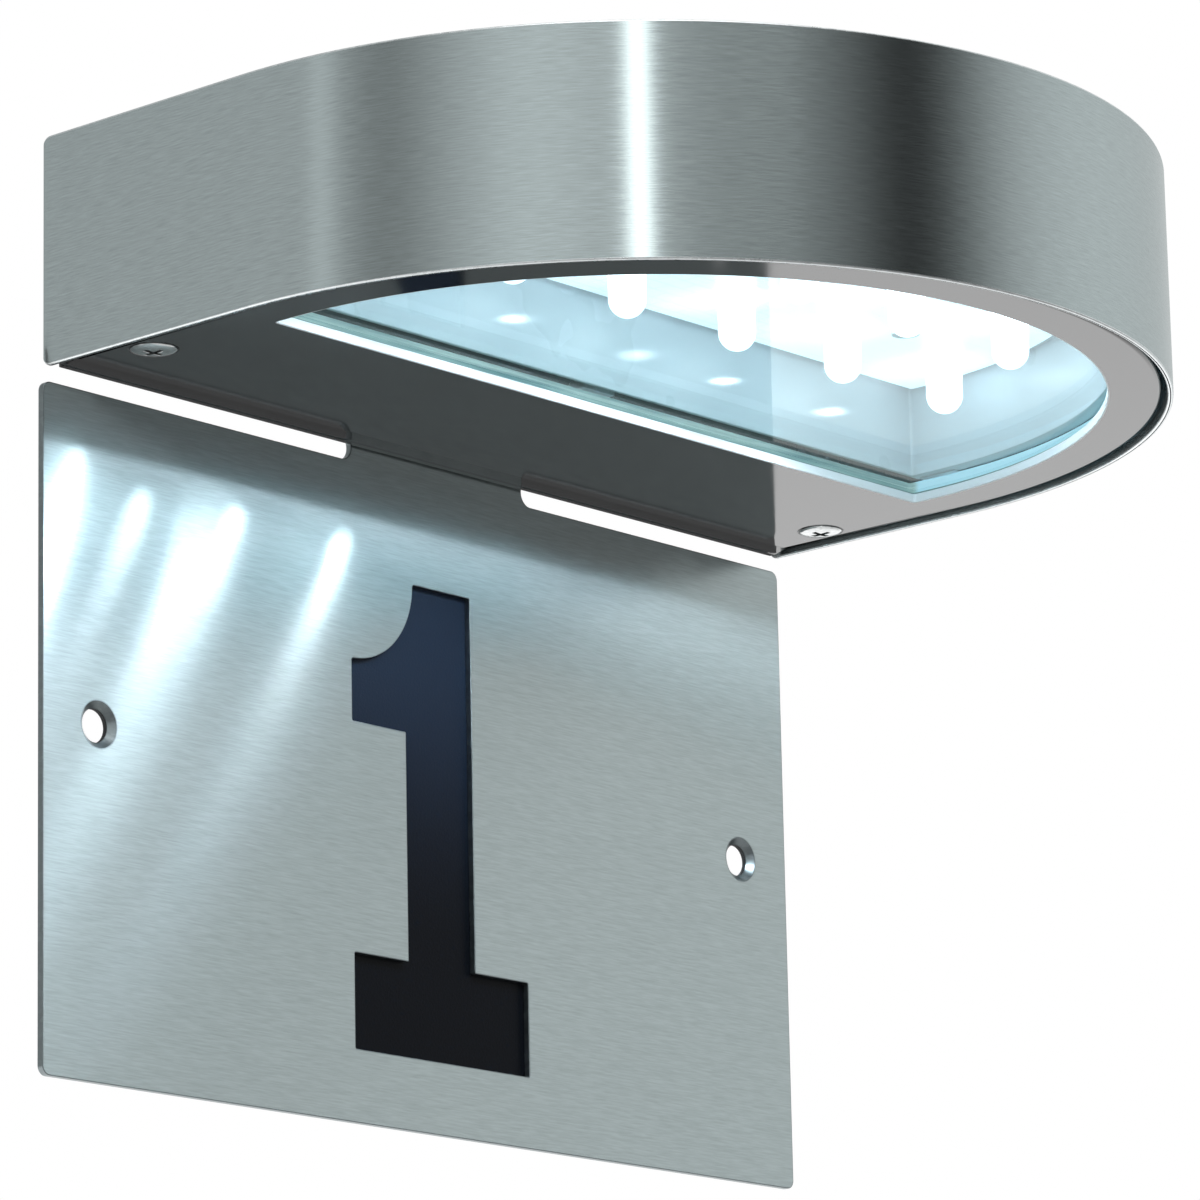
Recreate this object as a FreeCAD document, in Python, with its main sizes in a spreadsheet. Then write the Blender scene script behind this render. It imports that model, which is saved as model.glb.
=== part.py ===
"""Illuminated house number sign: a brushed steel number plate under a D-shaped lamp housing.

Frame: millimetres, origin on the wall plane midway between the two lower wall fixings,
+X to the right when facing the sign, -Y out of the wall, +Z up. Depths are measured out
of the wall and are positive, so a point at depth d has y = -d.
"""
import FreeCAD, Part
import Sketcher
import os
from math import pi, sqrt

Vector = FreeCAD.Vector
NO_TURN = FreeCAD.Rotation()
AXIS_TURN = {
    "x": FreeCAD.Rotation(Vector(0, 1, 0), 90),
    "y": FreeCAD.Rotation(Vector(1, 0, 0), 90),
    "z": NO_TURN,
}

SIZES = {
    # number plate and the mounting panel above it, one sheet
    "plate_width": 230.0,
    "plate_height": 142.0,
    "plate_sheet": 1.5,
    "plate_corner": 2.0,
    "standoff": 1.0,
    "fixing_inset": 15.5,
    "fixing_drop": 69.0,
    "fixing_bore": 7.0,
    "fixing_sink": 9.8,
    "fixing_pad_size": 16.0,
    "slot_height": 6.0,
    "neck_width": 53.6,
    "neck_shift": 1.5,
    "panel_clearance": 0.8,
    "upper_inset": 47.3,
    "upper_bore": 5.5,
    "upper_head": 12.0,
    # digit cut-out and its backing
    "digit_drop": 24.0,
    "digit_height": 102.5,
    "digit_foot_width": 53.6,
    "digit_foot_height": 20.4,
    "digit_stem_width": 20.5,
    "digit_stem_shift": 16.4,
    "digit_flag_height": 13.6,
    "digit_hollow": 19.0,
    "digit_shift": 1.0,
    "backing_sheet": 0.8,
    "backing_margin": 6.0,
    # lamp housing
    "band_gap": 3.0,
    "band_height": 48.7,
    "band_inset": 0.5,
    "band_straight": 56.5,
    "band_sheet": 1.2,
    "band_standoff": 1.7,
    "weld_gap": 0.1,
    "top_sheet": 1.5,
    "top_recess": 0.3,
    "back_sheet": 1.5,
    "back_lift": 1.0,
    "gasket_width": 6.0,
    # cover frame and glass
    "cover_recess": 1.0,
    "cover_sheet": 2.0,
    "cover_gap": 1.2,
    "cover_rear_gap": 0.8,
    "cover_round": 0.6,
    "rim_width": 12.5,
    "opening_rear": 54.5,
    "glass_bearing": 6.0,
    "glass_sheet": 4.0,
    "seal_sheet": 0.5,
    "seal_width": 4.5,
    "clip_width": 10.0,
    "clip_sheet": 1.2,
    "clip_lip": 2.2,
    "clip_leg": 4.4,
    "clip_screw": 3.0,
    # cover screws and their posts
    "screw_inset": 8.4,
    "screw_depth": 24.0,
    "screw_size": 5.0,
    "screw_head": 9.6,
    "screw_dome": 0.8,
    "screw_proud": 0.1,
    "screw_length": 12.0,
    "running_gap": 0.3,
    "post_flats": 8.0,
    # front locating stud and its socket
    "stud_size": 3.0,
    "stud_length": 14.0,
    "socket_width": 14.0,
    "socket_height": 11.0,
    # light chamber and LED board
    "chamber_sheet": 1.0,
    "chamber_height": 21.5,
    "chamber_bearing": 3.3,
    "board_sheet": 1.6,
    "board_margin": 3.0,
    "board_post": 6.0,
    "board_screw": 3.0,
    "board_screw_length": 9.0,
    "board_post_spacing": 120.0,
    "board_post_setback": 31.5,
    "board_post_inset": 8.7,
    "led_edge": 15.0,
    "led_row": 32.0,
    "led_setback": 20.0,
    "led_flange": 9.2,
    "led_flange_height": 0.9,
    "led_straight": 6.8,
    "led_lens": 8.0,
    # driver, terminal block and earth point
    "driver_x": -30.0,
    "driver_length": 90.0,
    "driver_width": 34.0,
    "driver_height": 22.0,
    "driver_depth": 9.0,
    "foot_length": 8.0,
    "foot_sheet": 2.5,
    "terminal_gap": 20.0,
    "terminal_length": 14.0,
    "terminal_depth": 9.0,
    "terminal_height": 12.0,
    "terminal_pitch": 8.5,
    "terminal_hole": 3.2,
    "earth_inset": 29.3,
    "bolt_size": 4.0,
    "bolt_length": 9.0,
    "nut_flats": 7.0,
    "nut_height": 3.2,
    "stud_inset": 16.3,
    "fastening_lift": 9.0,
    # cable entry and the leads inside the housing
    "entry_x": -36.0,
    "entry_lift": 13.0,
    "entry_bore": 8.0,
    "grommet_neck": 12.0,
    "grommet_flange": 16.0,
    "grommet_lip": 1.5,
    "lead_size": 2.0,
    "earth_lead_size": 2.4,
    "lead_bend": 6.0,
}


class Size:
    """A length with its value and the spreadsheet formula that it comes from."""

    def __init__(self, value, text):
        self.value = value
        self.text = text

    def join(self, other, sign, value):
        text = other.text if isinstance(other, Size) else repr(float(other))
        return Size(value, "(" + self.text + " " + sign + " " + text + ")")

    def __add__(self, other):
        return self.join(other, "+", self.value + number(other))

    def __sub__(self, other):
        return self.join(other, "-", self.value - number(other))

    def __mul__(self, other):
        return self.join(other, "*", self.value * number(other))

    def __truediv__(self, other):
        return self.join(other, "/", self.value / number(other))

    def __neg__(self):
        return Size(-self.value, "(0 - " + self.text + ")")


def number(size):
    return size.value if isinstance(size, Size) else float(size)


def plain(value):
    return Size(float(value), repr(float(value)))


doc = FreeCAD.newDocument("HouseNumberLight")
sheet = doc.addObject("Spreadsheet::Sheet", "Dims")
D = {}
for row, (alias, value) in enumerate(SIZES.items(), 1):
    sheet.set("A%d" % row, alias)
    sheet.set("B%d" % row, str(value))
    sheet.setAlias("B%d" % row, alias)
    D[alias] = Size(value, "Dims." + alias)
doc.recompute()
ZERO = plain(0)
nodes = []


# ---------------------------------------------------------------- document helpers
def bind(thing, prop, size):
    thing.setExpression(prop, size.text if isinstance(size, Size) else repr(float(size)))


def place(thing, x, y, z, turn=NO_TURN):
    thing.Placement = FreeCAD.Placement(Vector(number(x), number(y), number(z)), turn)
    for letter, size in (("x", x), ("y", y), ("z", z)):
        bind(thing, "Placement.Base." + letter, size)


def box(x0, x1, y0, y1, z0, z1):
    """A block between two values on each axis."""
    block = doc.addObject("Part::Box", "Block")
    bind(block, "Length", x1 - x0)
    bind(block, "Width", y1 - y0)
    bind(block, "Height", z1 - z0)
    place(block, x0, y0, z0)
    return block


def rod(axis, x, y, z, radius, length):
    """A cylinder that starts at (x, y, z) and runs along +X, -Y or +Z."""
    cylinder = doc.addObject("Part::Cylinder", "Rod")
    bind(cylinder, "Radius", radius)
    bind(cylinder, "Height", length)
    place(cylinder, x, y, z, AXIS_TURN[axis])
    return cylinder


def cone(axis, x, y, z, first, second, length):
    """A cone frustum that starts with its first radius at (x, y, z)."""
    frustum = doc.addObject("Part::Cone", "Cone")
    bind(frustum, "Radius1", first)
    bind(frustum, "Radius2", second)
    bind(frustum, "Height", length)
    place(frustum, x, y, z, AXIS_TURN[axis])
    return frustum


def hexagon(axis, x, y, z, flats, length):
    """A hexagonal prism, measured across its flats."""
    prism = doc.addObject("Part::Prism", "Prism")
    prism.Polygon = 6
    bind(prism, "Circumradius", flats / sqrt(3.0))
    bind(prism, "Height", length)
    place(prism, x, y, z, AXIS_TURN[axis])
    return prism


def fuse(*pieces):
    union = doc.addObject("Part::MultiFuse", "Union")
    union.Shapes = list(pieces)
    union.Refine = True
    return union


def cut(base, *tools):
    difference = doc.addObject("Part::Cut", "Difference")
    difference.Base = base
    difference.Tool = tools[0] if len(tools) == 1 else fuse(*tools)
    difference.Refine = True
    return difference


def common(first, second):
    overlap = doc.addObject("Part::MultiCommon", "Overlap")
    overlap.Shapes = [first, second]
    return overlap


def node(name, thing):
    """Names a finished sub-part: its label is also its file name."""
    thing.Label = name
    nodes.append(thing)
    return thing


# ---------------------------------------------------------------- sketch helpers
def new_sketch(body, role, offset):
    """A sketch on one of the body's own origin planes, moved along the plane's normal."""
    plane = [item for item in body.Origin.OriginFeatures if item.Role == role][0]
    sketch = body.newObject("Sketcher::SketchObject", "Outline")
    sketch.AttachmentSupport = [(plane, "")]
    sketch.MapMode = "FlatFace"
    bind(sketch, "AttachmentOffset.Base.z", offset)
    return sketch


def dimension(sketch, kind, size, *points):
    index = sketch.addConstraint(Sketcher.Constraint(kind, *points, abs(size.value)))
    bind(sketch, "Constraints[%d]" % index, size if size.value >= 0 else -size)


def pin(sketch, line, end, x, y):
    """Ties a point to the sketch's origin by its two coordinates, of either sign."""
    for kind, size, axis in (("DistanceX", x, -2), ("DistanceY", y, -1)):
        if abs(size.value) < 1e-9:
            sketch.addConstraint(Sketcher.Constraint("PointOnObject", line, end, axis))
        elif size.value > 0:
            dimension(sketch, kind, size, -1, 1, line, end)
        else:
            dimension(sketch, kind, size, line, end, -1, 1)


def polygon(body, role, offset, corners):
    """A closed outline of straight lines through corners given as pairs of sizes."""
    sketch = new_sketch(body, role, offset)
    points = [Vector(x.value, y.value, 0) for x, y in corners]
    count = len(points)
    for i in range(count):
        sketch.addGeometry(Part.LineSegment(points[i], points[(i + 1) % count]), False)
    for i in range(count):
        sketch.addConstraint(Sketcher.Constraint("Coincident", i, 2, (i + 1) % count, 1))
        pin(sketch, i, 1, *corners[i])
    return sketch


def circles(body, role, offset, centres, radius):
    """Equal round holes around the given centres."""
    sketch = new_sketch(body, role, offset)
    for i, (x, y) in enumerate(centres):
        circle = Part.Circle(Vector(x.value, y.value, 0), Vector(0, 0, 1), radius.value)
        sketch.addGeometry(circle, False)
        pin(sketch, i, 3, x, y)
        dimension(sketch, "Radius", radius, i)
    return sketch


def d_outline(body, offset, radius, arc_depth, rear_depth):
    """The D plan of the lamp: a straight rear edge, two straight sides and a half circle in front."""
    sketch = new_sketch(body, "XY_Plane", offset)
    r, arc_y, rear_y = radius.value, -arc_depth.value, -rear_depth.value
    rear_left = Vector(-r, rear_y, 0)
    rear_right = Vector(r, rear_y, 0)
    front = Part.Circle(Vector(0, arc_y, 0), Vector(0, 0, 1), r)
    sketch.addGeometry(Part.LineSegment(rear_left, rear_right), False)
    sketch.addGeometry(Part.LineSegment(rear_right, Vector(r, arc_y, 0)), False)
    sketch.addGeometry(Part.ArcOfCircle(front, pi, 2 * pi), False)
    sketch.addGeometry(Part.LineSegment(Vector(-r, arc_y, 0), rear_left), False)
    for rule in (("Coincident", 0, 2, 1, 1), ("Coincident", 3, 2, 0, 1),
                 ("Tangent", 1, 2, 2, 2), ("Tangent", 3, 1, 2, 1),
                 ("Horizontal", 0), ("Vertical", 1), ("Vertical", 3),
                 ("PointOnObject", 2, 3, -2)):
        sketch.addConstraint(Sketcher.Constraint(*rule))
    dimension(sketch, "Radius", radius, 2)
    dimension(sketch, "DistanceY", arc_depth, 2, 3, -1, 1)
    dimension(sketch, "DistanceY", rear_depth, 0, 1, -1, 1)
    return sketch


def new_body(name):
    return doc.addObject("PartDesign::Body", name + "_body")


def pad(body, sketch, length):
    feature = body.newObject("PartDesign::Pad", "Pad")
    feature.Profile = sketch
    bind(feature, "Length", length)
    sketch.Visibility = False
    doc.recompute()
    return feature


def pocket(body, sketch, length):
    """Cuts the sketch's outline from the sketch plane along its own normal."""
    before = body.Shape.Volume
    feature = body.newObject("PartDesign::Pocket", "Pocket")
    feature.Profile = sketch
    feature.Reversed = True
    bind(feature, "Length", length)
    doc.recompute()
    if body.Shape.Volume > before - 1e-3:
        raise RuntimeError("a pocket in " + body.Label + " cuts nothing")
    return feature


def fillet(body, radius, chosen):
    """Rounds the edges of the body's last feature that the chosen test picks."""
    base = body.Tip
    names = ["Edge%d" % (i + 1) for i, edge in enumerate(base.Shape.Edges) if chosen(edge)]
    feature = body.newObject("PartDesign::Fillet", "Fillet")
    feature.Base = (base, names)
    bind(feature, "Radius", radius)
    doc.recompute()
    return feature


def d_plate(name, z, height, radius, rear_depth):
    """A flat D-shaped body with its lower face at z."""
    body = new_body(name)
    pad(body, d_outline(body, z, radius, ARC_DEPTH, rear_depth), height)
    return body



# ---------------------------------------------------------------- places worked out from the sizes
PLATE_BACK = D["standoff"]
PLATE_FRONT = PLATE_BACK + D["plate_sheet"]
PLATE_TOP = D["fixing_drop"]
PLATE_BOTTOM = PLATE_TOP - D["plate_height"]
HALF_PLATE = D["plate_width"] / 2
ARC_DEPTH = D["band_standoff"] + D["band_straight"]
BAND_BOTTOM = PLATE_TOP + D["band_gap"]
BAND_TOP = BAND_BOTTOM + D["band_height"]
BAND_RADIUS = HALF_PLATE - D["band_inset"]
BAND_INNER = BAND_RADIUS - D["band_sheet"]
SEAT_RADIUS = BAND_INNER - D["weld_gap"]
ROOF = BAND_TOP - D["top_recess"] - D["top_sheet"]
COVER_BOTTOM = BAND_BOTTOM + D["cover_recess"]
COVER_TOP = COVER_BOTTOM + D["cover_sheet"]
COVER_RADIUS = BAND_INNER - D["cover_gap"]
BACK_FRONT = PLATE_FRONT + D["back_sheet"]
GLASS_BOTTOM = COVER_TOP + D["seal_sheet"]
GLASS_TOP = GLASS_BOTTOM + D["glass_sheet"]
OPENING_RADIUS = BAND_INNER - D["rim_width"]
GLASS_RADIUS = OPENING_RADIUS + D["glass_bearing"]
GLASS_REAR = D["opening_rear"] - D["glass_bearing"]
CHAMBER_RADIUS = GLASS_RADIUS - D["chamber_bearing"]
CHAMBER_INNER = CHAMBER_RADIUS - D["chamber_sheet"]
CHAMBER_REAR = GLASS_REAR + D["chamber_bearing"]
CHAMBER_BOTTOM = GLASS_TOP + D["running_gap"]
CHAMBER_TOP = CHAMBER_BOTTOM + D["chamber_height"]
BOARD_TOP = CHAMBER_TOP - D["chamber_sheet"]
BOARD_BOTTOM = BOARD_TOP - D["board_sheet"]
SCREW_X = BAND_INNER - D["screw_inset"]
FIXING_X = HALF_PLATE - D["fixing_inset"]
UPPER_X = BAND_INNER - D["upper_inset"]
STUD_X = BAND_INNER - D["stud_inset"]
EARTH_X = D["earth_inset"] - BAND_INNER
TERMINAL_X = D["driver_x"] - D["terminal_gap"] - D["terminal_length"]
FASTENING_Z = COVER_TOP + D["fastening_lift"]
ENTRY_Z = COVER_TOP + D["entry_lift"]
STUD_DEPTH = ARC_DEPTH + (GLASS_RADIUS + COVER_RADIUS) / 2
REAR_POST_DEPTH = D["opening_rear"] + D["board_post_setback"]
BOARD_POSTS = (
    ("left", -D["board_post_spacing"] / 2, REAR_POST_DEPTH),
    ("right", D["board_post_spacing"] / 2, REAR_POST_DEPTH),
    ("front", ZERO, ARC_DEPTH + CHAMBER_INNER - D["board_post_inset"]),
)
SIDES = (("left", -1), ("right", 1))


# ---------------------------------------------------------------- number plate
def digit_tool():
    """The figure 1 as a block that goes right through the plate: foot, stem and hollowed flag."""
    half_foot = D["digit_foot_width"] / 2
    left = D["digit_shift"] - half_foot
    right = D["digit_shift"] + half_foot
    top = PLATE_TOP - D["digit_drop"]
    bottom = top - D["digit_height"]
    stem_left = left + D["digit_stem_shift"]
    stem_right = stem_left + D["digit_stem_width"]
    flag_bottom = top - D["digit_hollow"] - D["digit_flag_height"]
    front = -PLATE_FRONT - 1
    back = -PLATE_BACK + 1
    foot = box(left, right, front, back, bottom, bottom + D["digit_foot_height"])
    stem = box(stem_left, stem_right, front, back, bottom, top)
    flag = box(left, stem_right, front, back, flag_bottom, top)
    hollow = rod("y", left, back, top, D["digit_hollow"], back - front)
    return fuse(foot, stem, cut(flag, hollow))


def make_wall_plate():
    """Number plate, neck and mounting panel cut from one sheet, with two slots open to the sides."""
    half_panel = BAND_INNER - D["panel_clearance"]
    panel_bottom = PLATE_TOP + D["slot_height"]
    panel_top = ROOF - D["running_gap"]
    neck_left = D["neck_shift"] - D["neck_width"] / 2
    neck_right = D["neck_shift"] + D["neck_width"] / 2
    body = new_body("wall_plate")
    outline = polygon(body, "XZ_Plane", PLATE_BACK, [
        (-HALF_PLATE, PLATE_BOTTOM), (HALF_PLATE, PLATE_BOTTOM),
        (HALF_PLATE, PLATE_TOP), (neck_right, PLATE_TOP),
        (neck_right, panel_bottom), (half_panel, panel_bottom),
        (half_panel, panel_top), (-half_panel, panel_top),
        (-half_panel, panel_bottom), (neck_left, panel_bottom),
        (neck_left, PLATE_TOP), (-HALF_PLATE, PLATE_TOP)])
    pad(body, outline, D["plate_sheet"])
    neck_reach = D["neck_width"].value
    fillet(body, D["plate_corner"], lambda edge: is_corner(edge, neck_reach))
    slot_round = D["slot_height"] / 2 - 0.05
    fillet(body, slot_round, lambda edge: is_neck_corner(edge, neck_reach))
    for centres, size in (
            ([(-FIXING_X, ZERO), (FIXING_X, ZERO)], D["fixing_bore"]),
            ([(-UPPER_X, FASTENING_Z), (UPPER_X, FASTENING_Z)], D["upper_bore"]),
            ([(-STUD_X, FASTENING_Z), (STUD_X, FASTENING_Z)], D["bolt_size"]),
            ([(D["entry_x"], ENTRY_Z)], D["grommet_neck"] + D["weld_gap"] * 2)):
        pocket(body, circles(body, "XZ_Plane", PLATE_BACK, centres, size / 2), D["plate_sheet"])
    sink_depth = (D["fixing_sink"] - D["fixing_bore"]) / 2
    sinks = [cone("y", FIXING_X * side, -PLATE_FRONT + sink_depth, ZERO,
                  D["fixing_bore"] / 2, D["fixing_sink"] / 2, sink_depth)
             for _, side in SIDES]
    node("wall_plate", cut(body, digit_tool(), *sinks))


def is_corner(edge, neck_reach):
    """The sheet's outer corners: edges through the thickness, away from the neck."""
    span = edge.BoundBox
    return span.XLength < 1e-6 and span.ZLength < 1e-6 and abs(span.XMin) > neck_reach


def is_neck_corner(edge, neck_reach):
    """The four inner corners beside the neck."""
    span = edge.BoundBox
    return span.XLength < 1e-6 and span.ZLength < 1e-6 and abs(span.XMin) < neck_reach


def make_digit_backing():
    """Black sheet bonded behind the cut-out, thinner than the stand-off."""
    half = D["digit_foot_width"] / 2 + D["backing_margin"]
    top = PLATE_TOP - D["digit_drop"] + D["backing_margin"]
    bottom = top - D["digit_height"] - D["backing_margin"] * 2
    sheet_back = -PLATE_BACK + D["backing_sheet"]
    node("digit_backing", box(D["digit_shift"] - half, D["digit_shift"] + half,
                              -PLATE_BACK, sheet_back, bottom, top))


def make_fixing_pads():
    """Rubber washers that hold the number plate off the wall around its two fixings."""
    for name, side in SIDES:
        x = FIXING_X * side
        ring = rod("y", x, ZERO, ZERO, D["fixing_pad_size"] / 2, D["standoff"])
        bore = rod("y", x, ZERO, ZERO, D["fixing_bore"] / 2, D["standoff"])
        node("fixing_pad_" + name, cut(ring, bore))


def make_wall_gasket():
    """Flat sealing frame behind the mounting panel."""
    half = BAND_INNER - D["panel_clearance"] - D["running_gap"]
    bottom = PLATE_TOP + D["slot_height"] + D["running_gap"]
    top = ROOF - D["running_gap"] * 2
    inset = D["gasket_width"]
    outer = box(-half, half, -D["standoff"], ZERO, bottom, top)
    inner = box(-half + inset, half - inset, -D["standoff"], ZERO, bottom + inset / 3, top - inset)
    node("wall_gasket", cut(outer, inner))


# ---------------------------------------------------------------- lamp housing
def make_housing_band():
    """Steel strip bent to the D plan, open towards the wall."""
    body = d_plate("housing_band", BAND_BOTTOM, D["band_height"], BAND_RADIUS,
                   D["band_standoff"])
    hollow = d_outline(body, BAND_BOTTOM, BAND_INNER, ARC_DEPTH, D["band_standoff"] / 2)
    pocket(body, hollow, D["band_height"])
    node("housing_band", body)


def make_housing_top():
    """Roof sheet set into the band just below its upper edge."""
    node("housing_top", d_plate("housing_top", ROOF, D["top_sheet"], SEAT_RADIUS,
                                D["band_standoff"]))


def make_housing_back():
    """Rear sheet, bolted face to face to the mounting panel and cleared for the upper screw heads."""
    bottom = COVER_TOP + D["back_lift"]
    body = new_body("housing_back")
    outline = polygon(body, "XZ_Plane", PLATE_FRONT, [
        (-SEAT_RADIUS, bottom), (SEAT_RADIUS, bottom), (SEAT_RADIUS, ROOF), (-SEAT_RADIUS, ROOF)])
    pad(body, outline, D["back_sheet"])
    for centres, size in (
            ([(-UPPER_X, FASTENING_Z), (UPPER_X, FASTENING_Z)], D["upper_head"]),
            ([(-STUD_X, FASTENING_Z), (STUD_X, FASTENING_Z)],
             D["bolt_size"] + D["running_gap"] * 2),
            ([(EARTH_X, FASTENING_Z)], D["bolt_size"]),
            ([(D["entry_x"], ENTRY_Z)], D["grommet_neck"] + D["weld_gap"] * 2)):
        pocket(body, circles(body, "XZ_Plane", PLATE_FRONT, centres, size / 2), D["back_sheet"])
    node("housing_back", body)


def make_plate_studs():
    """Studs pressed into the mounting panel, with the nuts that hold the housing on it."""
    for name, side in SIDES:
        x = STUD_X * side
        length = D["plate_sheet"] + D["back_sheet"] + D["bolt_length"]
        node("plate_stud_" + name,
             rod("y", x, -PLATE_BACK, FASTENING_Z, D["bolt_size"] / 2, length))
        node("stud_nut_" + name, nut(x, -BACK_FRONT, FASTENING_Z))


def nut(x, y, z):
    """A hexagon nut on a horizontal bolt."""
    body = hexagon("y", x, y, z, D["nut_flats"], D["nut_height"])
    return cut(body, rod("y", x, y, z, D["bolt_size"] / 2, D["nut_height"]))


def make_earth_point():
    """Earth stud riveted in the rear sheet, a ring tag and its nut."""
    x = EARTH_X
    z = FASTENING_Z
    tag_sheet = D["grommet_lip"] / 2
    tag = fuse(rod("y", x, -BACK_FRONT, z, D["nut_flats"] / 2, tag_sheet),
               box(x - D["earth_lead_size"] / 2, x + D["earth_lead_size"] / 2,
                   -BACK_FRONT - tag_sheet, -BACK_FRONT, z, z + D["nut_flats"]))
    bolt = rod("y", x, -PLATE_FRONT, z, D["bolt_size"] / 2, D["back_sheet"] + D["bolt_length"])
    node("earth_stud", bolt)
    tag_ring = cut(tag, rod("y", x, -BACK_FRONT, z, D["bolt_size"] / 2, tag_sheet))
    node("earth_tag", tag_ring)
    node("earth_nut", nut(x, -BACK_FRONT - tag_sheet, z))


def make_grommet():
    """Rubber grommet in the cable entry, with a groove that takes both sheets."""
    x = D["entry_x"]
    z = ENTRY_Z
    both = D["plate_sheet"] + D["back_sheet"]
    neck = rod("y", x, -PLATE_BACK, z, D["grommet_neck"] / 2, both)
    rear = rod("y", x, -PLATE_BACK + D["standoff"] - D["weld_gap"], z, D["grommet_flange"] / 2,
               D["standoff"] - D["weld_gap"])
    front = rod("y", x, -BACK_FRONT, z, D["grommet_flange"] / 2, D["grommet_lip"])
    bore = rod("y", x, ZERO, z, D["entry_bore"] / 2, BACK_FRONT + D["grommet_lip"])
    node("cable_grommet", cut(fuse(neck, rear, front), bore))


# ---------------------------------------------------------------- electrical parts under the roof
def make_driver():
    """LED driver: a closed case hung under the roof by a foot at each end."""
    x0 = D["driver_x"]
    x1 = x0 + D["driver_length"]
    y1 = -BACK_FRONT - D["driver_depth"]
    y0 = y1 - D["driver_width"]
    case = box(x0, x1, y0, y1, ROOF - D["driver_height"], ROOF)
    foot_y0 = y0 + D["driver_width"] / 4
    foot_y1 = y1 - D["driver_width"] / 4
    middle = (foot_y0 + foot_y1) / 2
    feet = [box(x0 - D["foot_length"], x0, foot_y0, foot_y1, ROOF - D["foot_sheet"], ROOF),
            box(x1, x1 + D["foot_length"], foot_y0, foot_y1, ROOF - D["foot_sheet"], ROOF)]
    places = [x0 - D["foot_length"] / 2, x1 + D["foot_length"] / 2]
    holes = [rod("z", x, middle, ROOF - D["foot_sheet"], D["board_screw"] / 2, D["foot_sheet"])
             for x in places]
    node("driver_case", cut(fuse(case, *feet), *holes))
    for (name, _), x in zip(SIDES, places):
        node("driver_screw_" + name,
             pan_screw(x, middle, ROOF - D["foot_sheet"], D["board_screw"], D["foot_sheet"]))


def pan_screw(x, y, z, size, length):
    """A cross-recess screw driven upwards, with its head below z."""
    head_height = size * 0.6
    head = rod("z", x, y, z - head_height, size, head_height)
    shank = rod("z", x, y, z, size / 2, length)
    return cut(fuse(head, shank), *cross_recess(x, y, z - head_height, size))


def cross_recess(x, y, z, size):
    """The two crossed slots of a screw's drive, cut upwards from z."""
    arm = size * 0.5
    half = size * 0.1
    depth = size * 0.35
    return [box(x - arm, x + arm, y - half, y + half, z - 1, z + depth),
            box(x - half, x + half, y - arm, y + arm, z - 1, z + depth)]


def make_terminal_block():
    """Three-pole terminal block under the roof, with a wire hole and a screw hole for each pole."""
    x0 = TERMINAL_X
    x1 = x0 + D["terminal_length"]
    y1 = -BACK_FRONT - D["terminal_depth"] + D["terminal_pitch"] / 2
    y0 = y1 - D["terminal_pitch"] * 3
    bottom = ROOF - D["terminal_height"]
    block = box(x0, x1, y0, y1, bottom, ROOF)
    holes = []
    for y in pole_places():
        holes.append(rod("x", x0, y, bottom + D["terminal_height"] / 2, D["terminal_hole"] / 2,
                         D["terminal_length"] / 3))
    node("terminal_block", cut(block, *holes))


def pole_places():
    """The y of the live, neutral and earth poles."""
    first = -BACK_FRONT - D["terminal_depth"]
    return [first - D["terminal_pitch"] * i for i in range(3)]


def tube(name, corners, diameter):
    """A lead along straight runs joined by tangent arcs, through corners given as sizes."""
    points = [Vector(x.value, y.value, z.value) for x, y, z in corners]
    edges = []
    here = points[0]
    for before, corner, after in zip(points, points[1:], points[2:]):
        back = (before - corner).normalize()
        ahead = (after - corner).normalize()
        bend = D["lead_bend"].value
        start = corner + back * bend
        finish = corner + ahead * bend
        middle = corner + (back + ahead) * (bend * (1 - sqrt(0.5)))
        edges.append(Part.LineSegment(here, start).toShape())
        edges.append(Part.Arc(start, middle, finish).toShape())
        here = finish
    edges.append(Part.LineSegment(here, points[-1]).toShape())
    path = Part.Wire(edges)
    along = points[1] - points[0]
    ring = Part.Wire([Part.Circle(points[0], along, diameter.value / 2).toShape()])
    solid = path.makePipeShell([ring], True, False)
    ideal = pi * diameter.value ** 2 / 4 * path.Length
    print("%s: length %.1f, volume ratio %.4f" % (name, path.Length, solid.Volume / ideal))
    feature = doc.addObject("Part::Feature", name)
    feature.Shape = solid
    node(name, feature)


def make_leads():
    """The leads inside the housing: supply to driver, earth, and driver to LED board."""
    exit_x = TERMINAL_X + D["terminal_length"] / 2
    exit_z = ROOF - D["terminal_height"]
    low = ROOF - D["driver_height"] + D["lead_size"]
    live_y, neutral_y, earth_y = pole_places()
    for name, y in (("live", live_y), ("neutral", neutral_y)):
        tube("lead_" + name, [(exit_x, y, exit_z), (exit_x, y, low), (D["driver_x"], y, low)],
             D["lead_size"])
    tag_y = -BACK_FRONT - D["earth_lead_size"] / 2
    tag_z = FASTENING_Z + D["nut_flats"]
    tube("lead_earth", [(exit_x, earth_y, exit_z), (exit_x, earth_y, low), (EARTH_X, earth_y, low),
                        (EARTH_X, tag_y, low), (EARTH_X, tag_y, tag_z)], D["earth_lead_size"])
    driver_end = D["driver_x"] + D["driver_length"]
    lead_y = -BACK_FRONT - D["driver_depth"] - D["driver_width"] / 2
    lead_z = ROOF - D["driver_height"] / 2
    drop_x, drop_y = led_lead_hole()
    tube("lead_led", [(driver_end, lead_y, lead_z), (drop_x, lead_y, lead_z),
                      (drop_x, drop_y, lead_z), (drop_x, drop_y, BOARD_TOP)],
         D["earth_lead_size"])


def led_lead_hole():
    """Where the lead passes down through the chamber's ceiling."""
    return D["driver_x"] + D["driver_length"] + D["lead_bend"] * 3, -D["opening_rear"] - D["lead_bend"]


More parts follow.
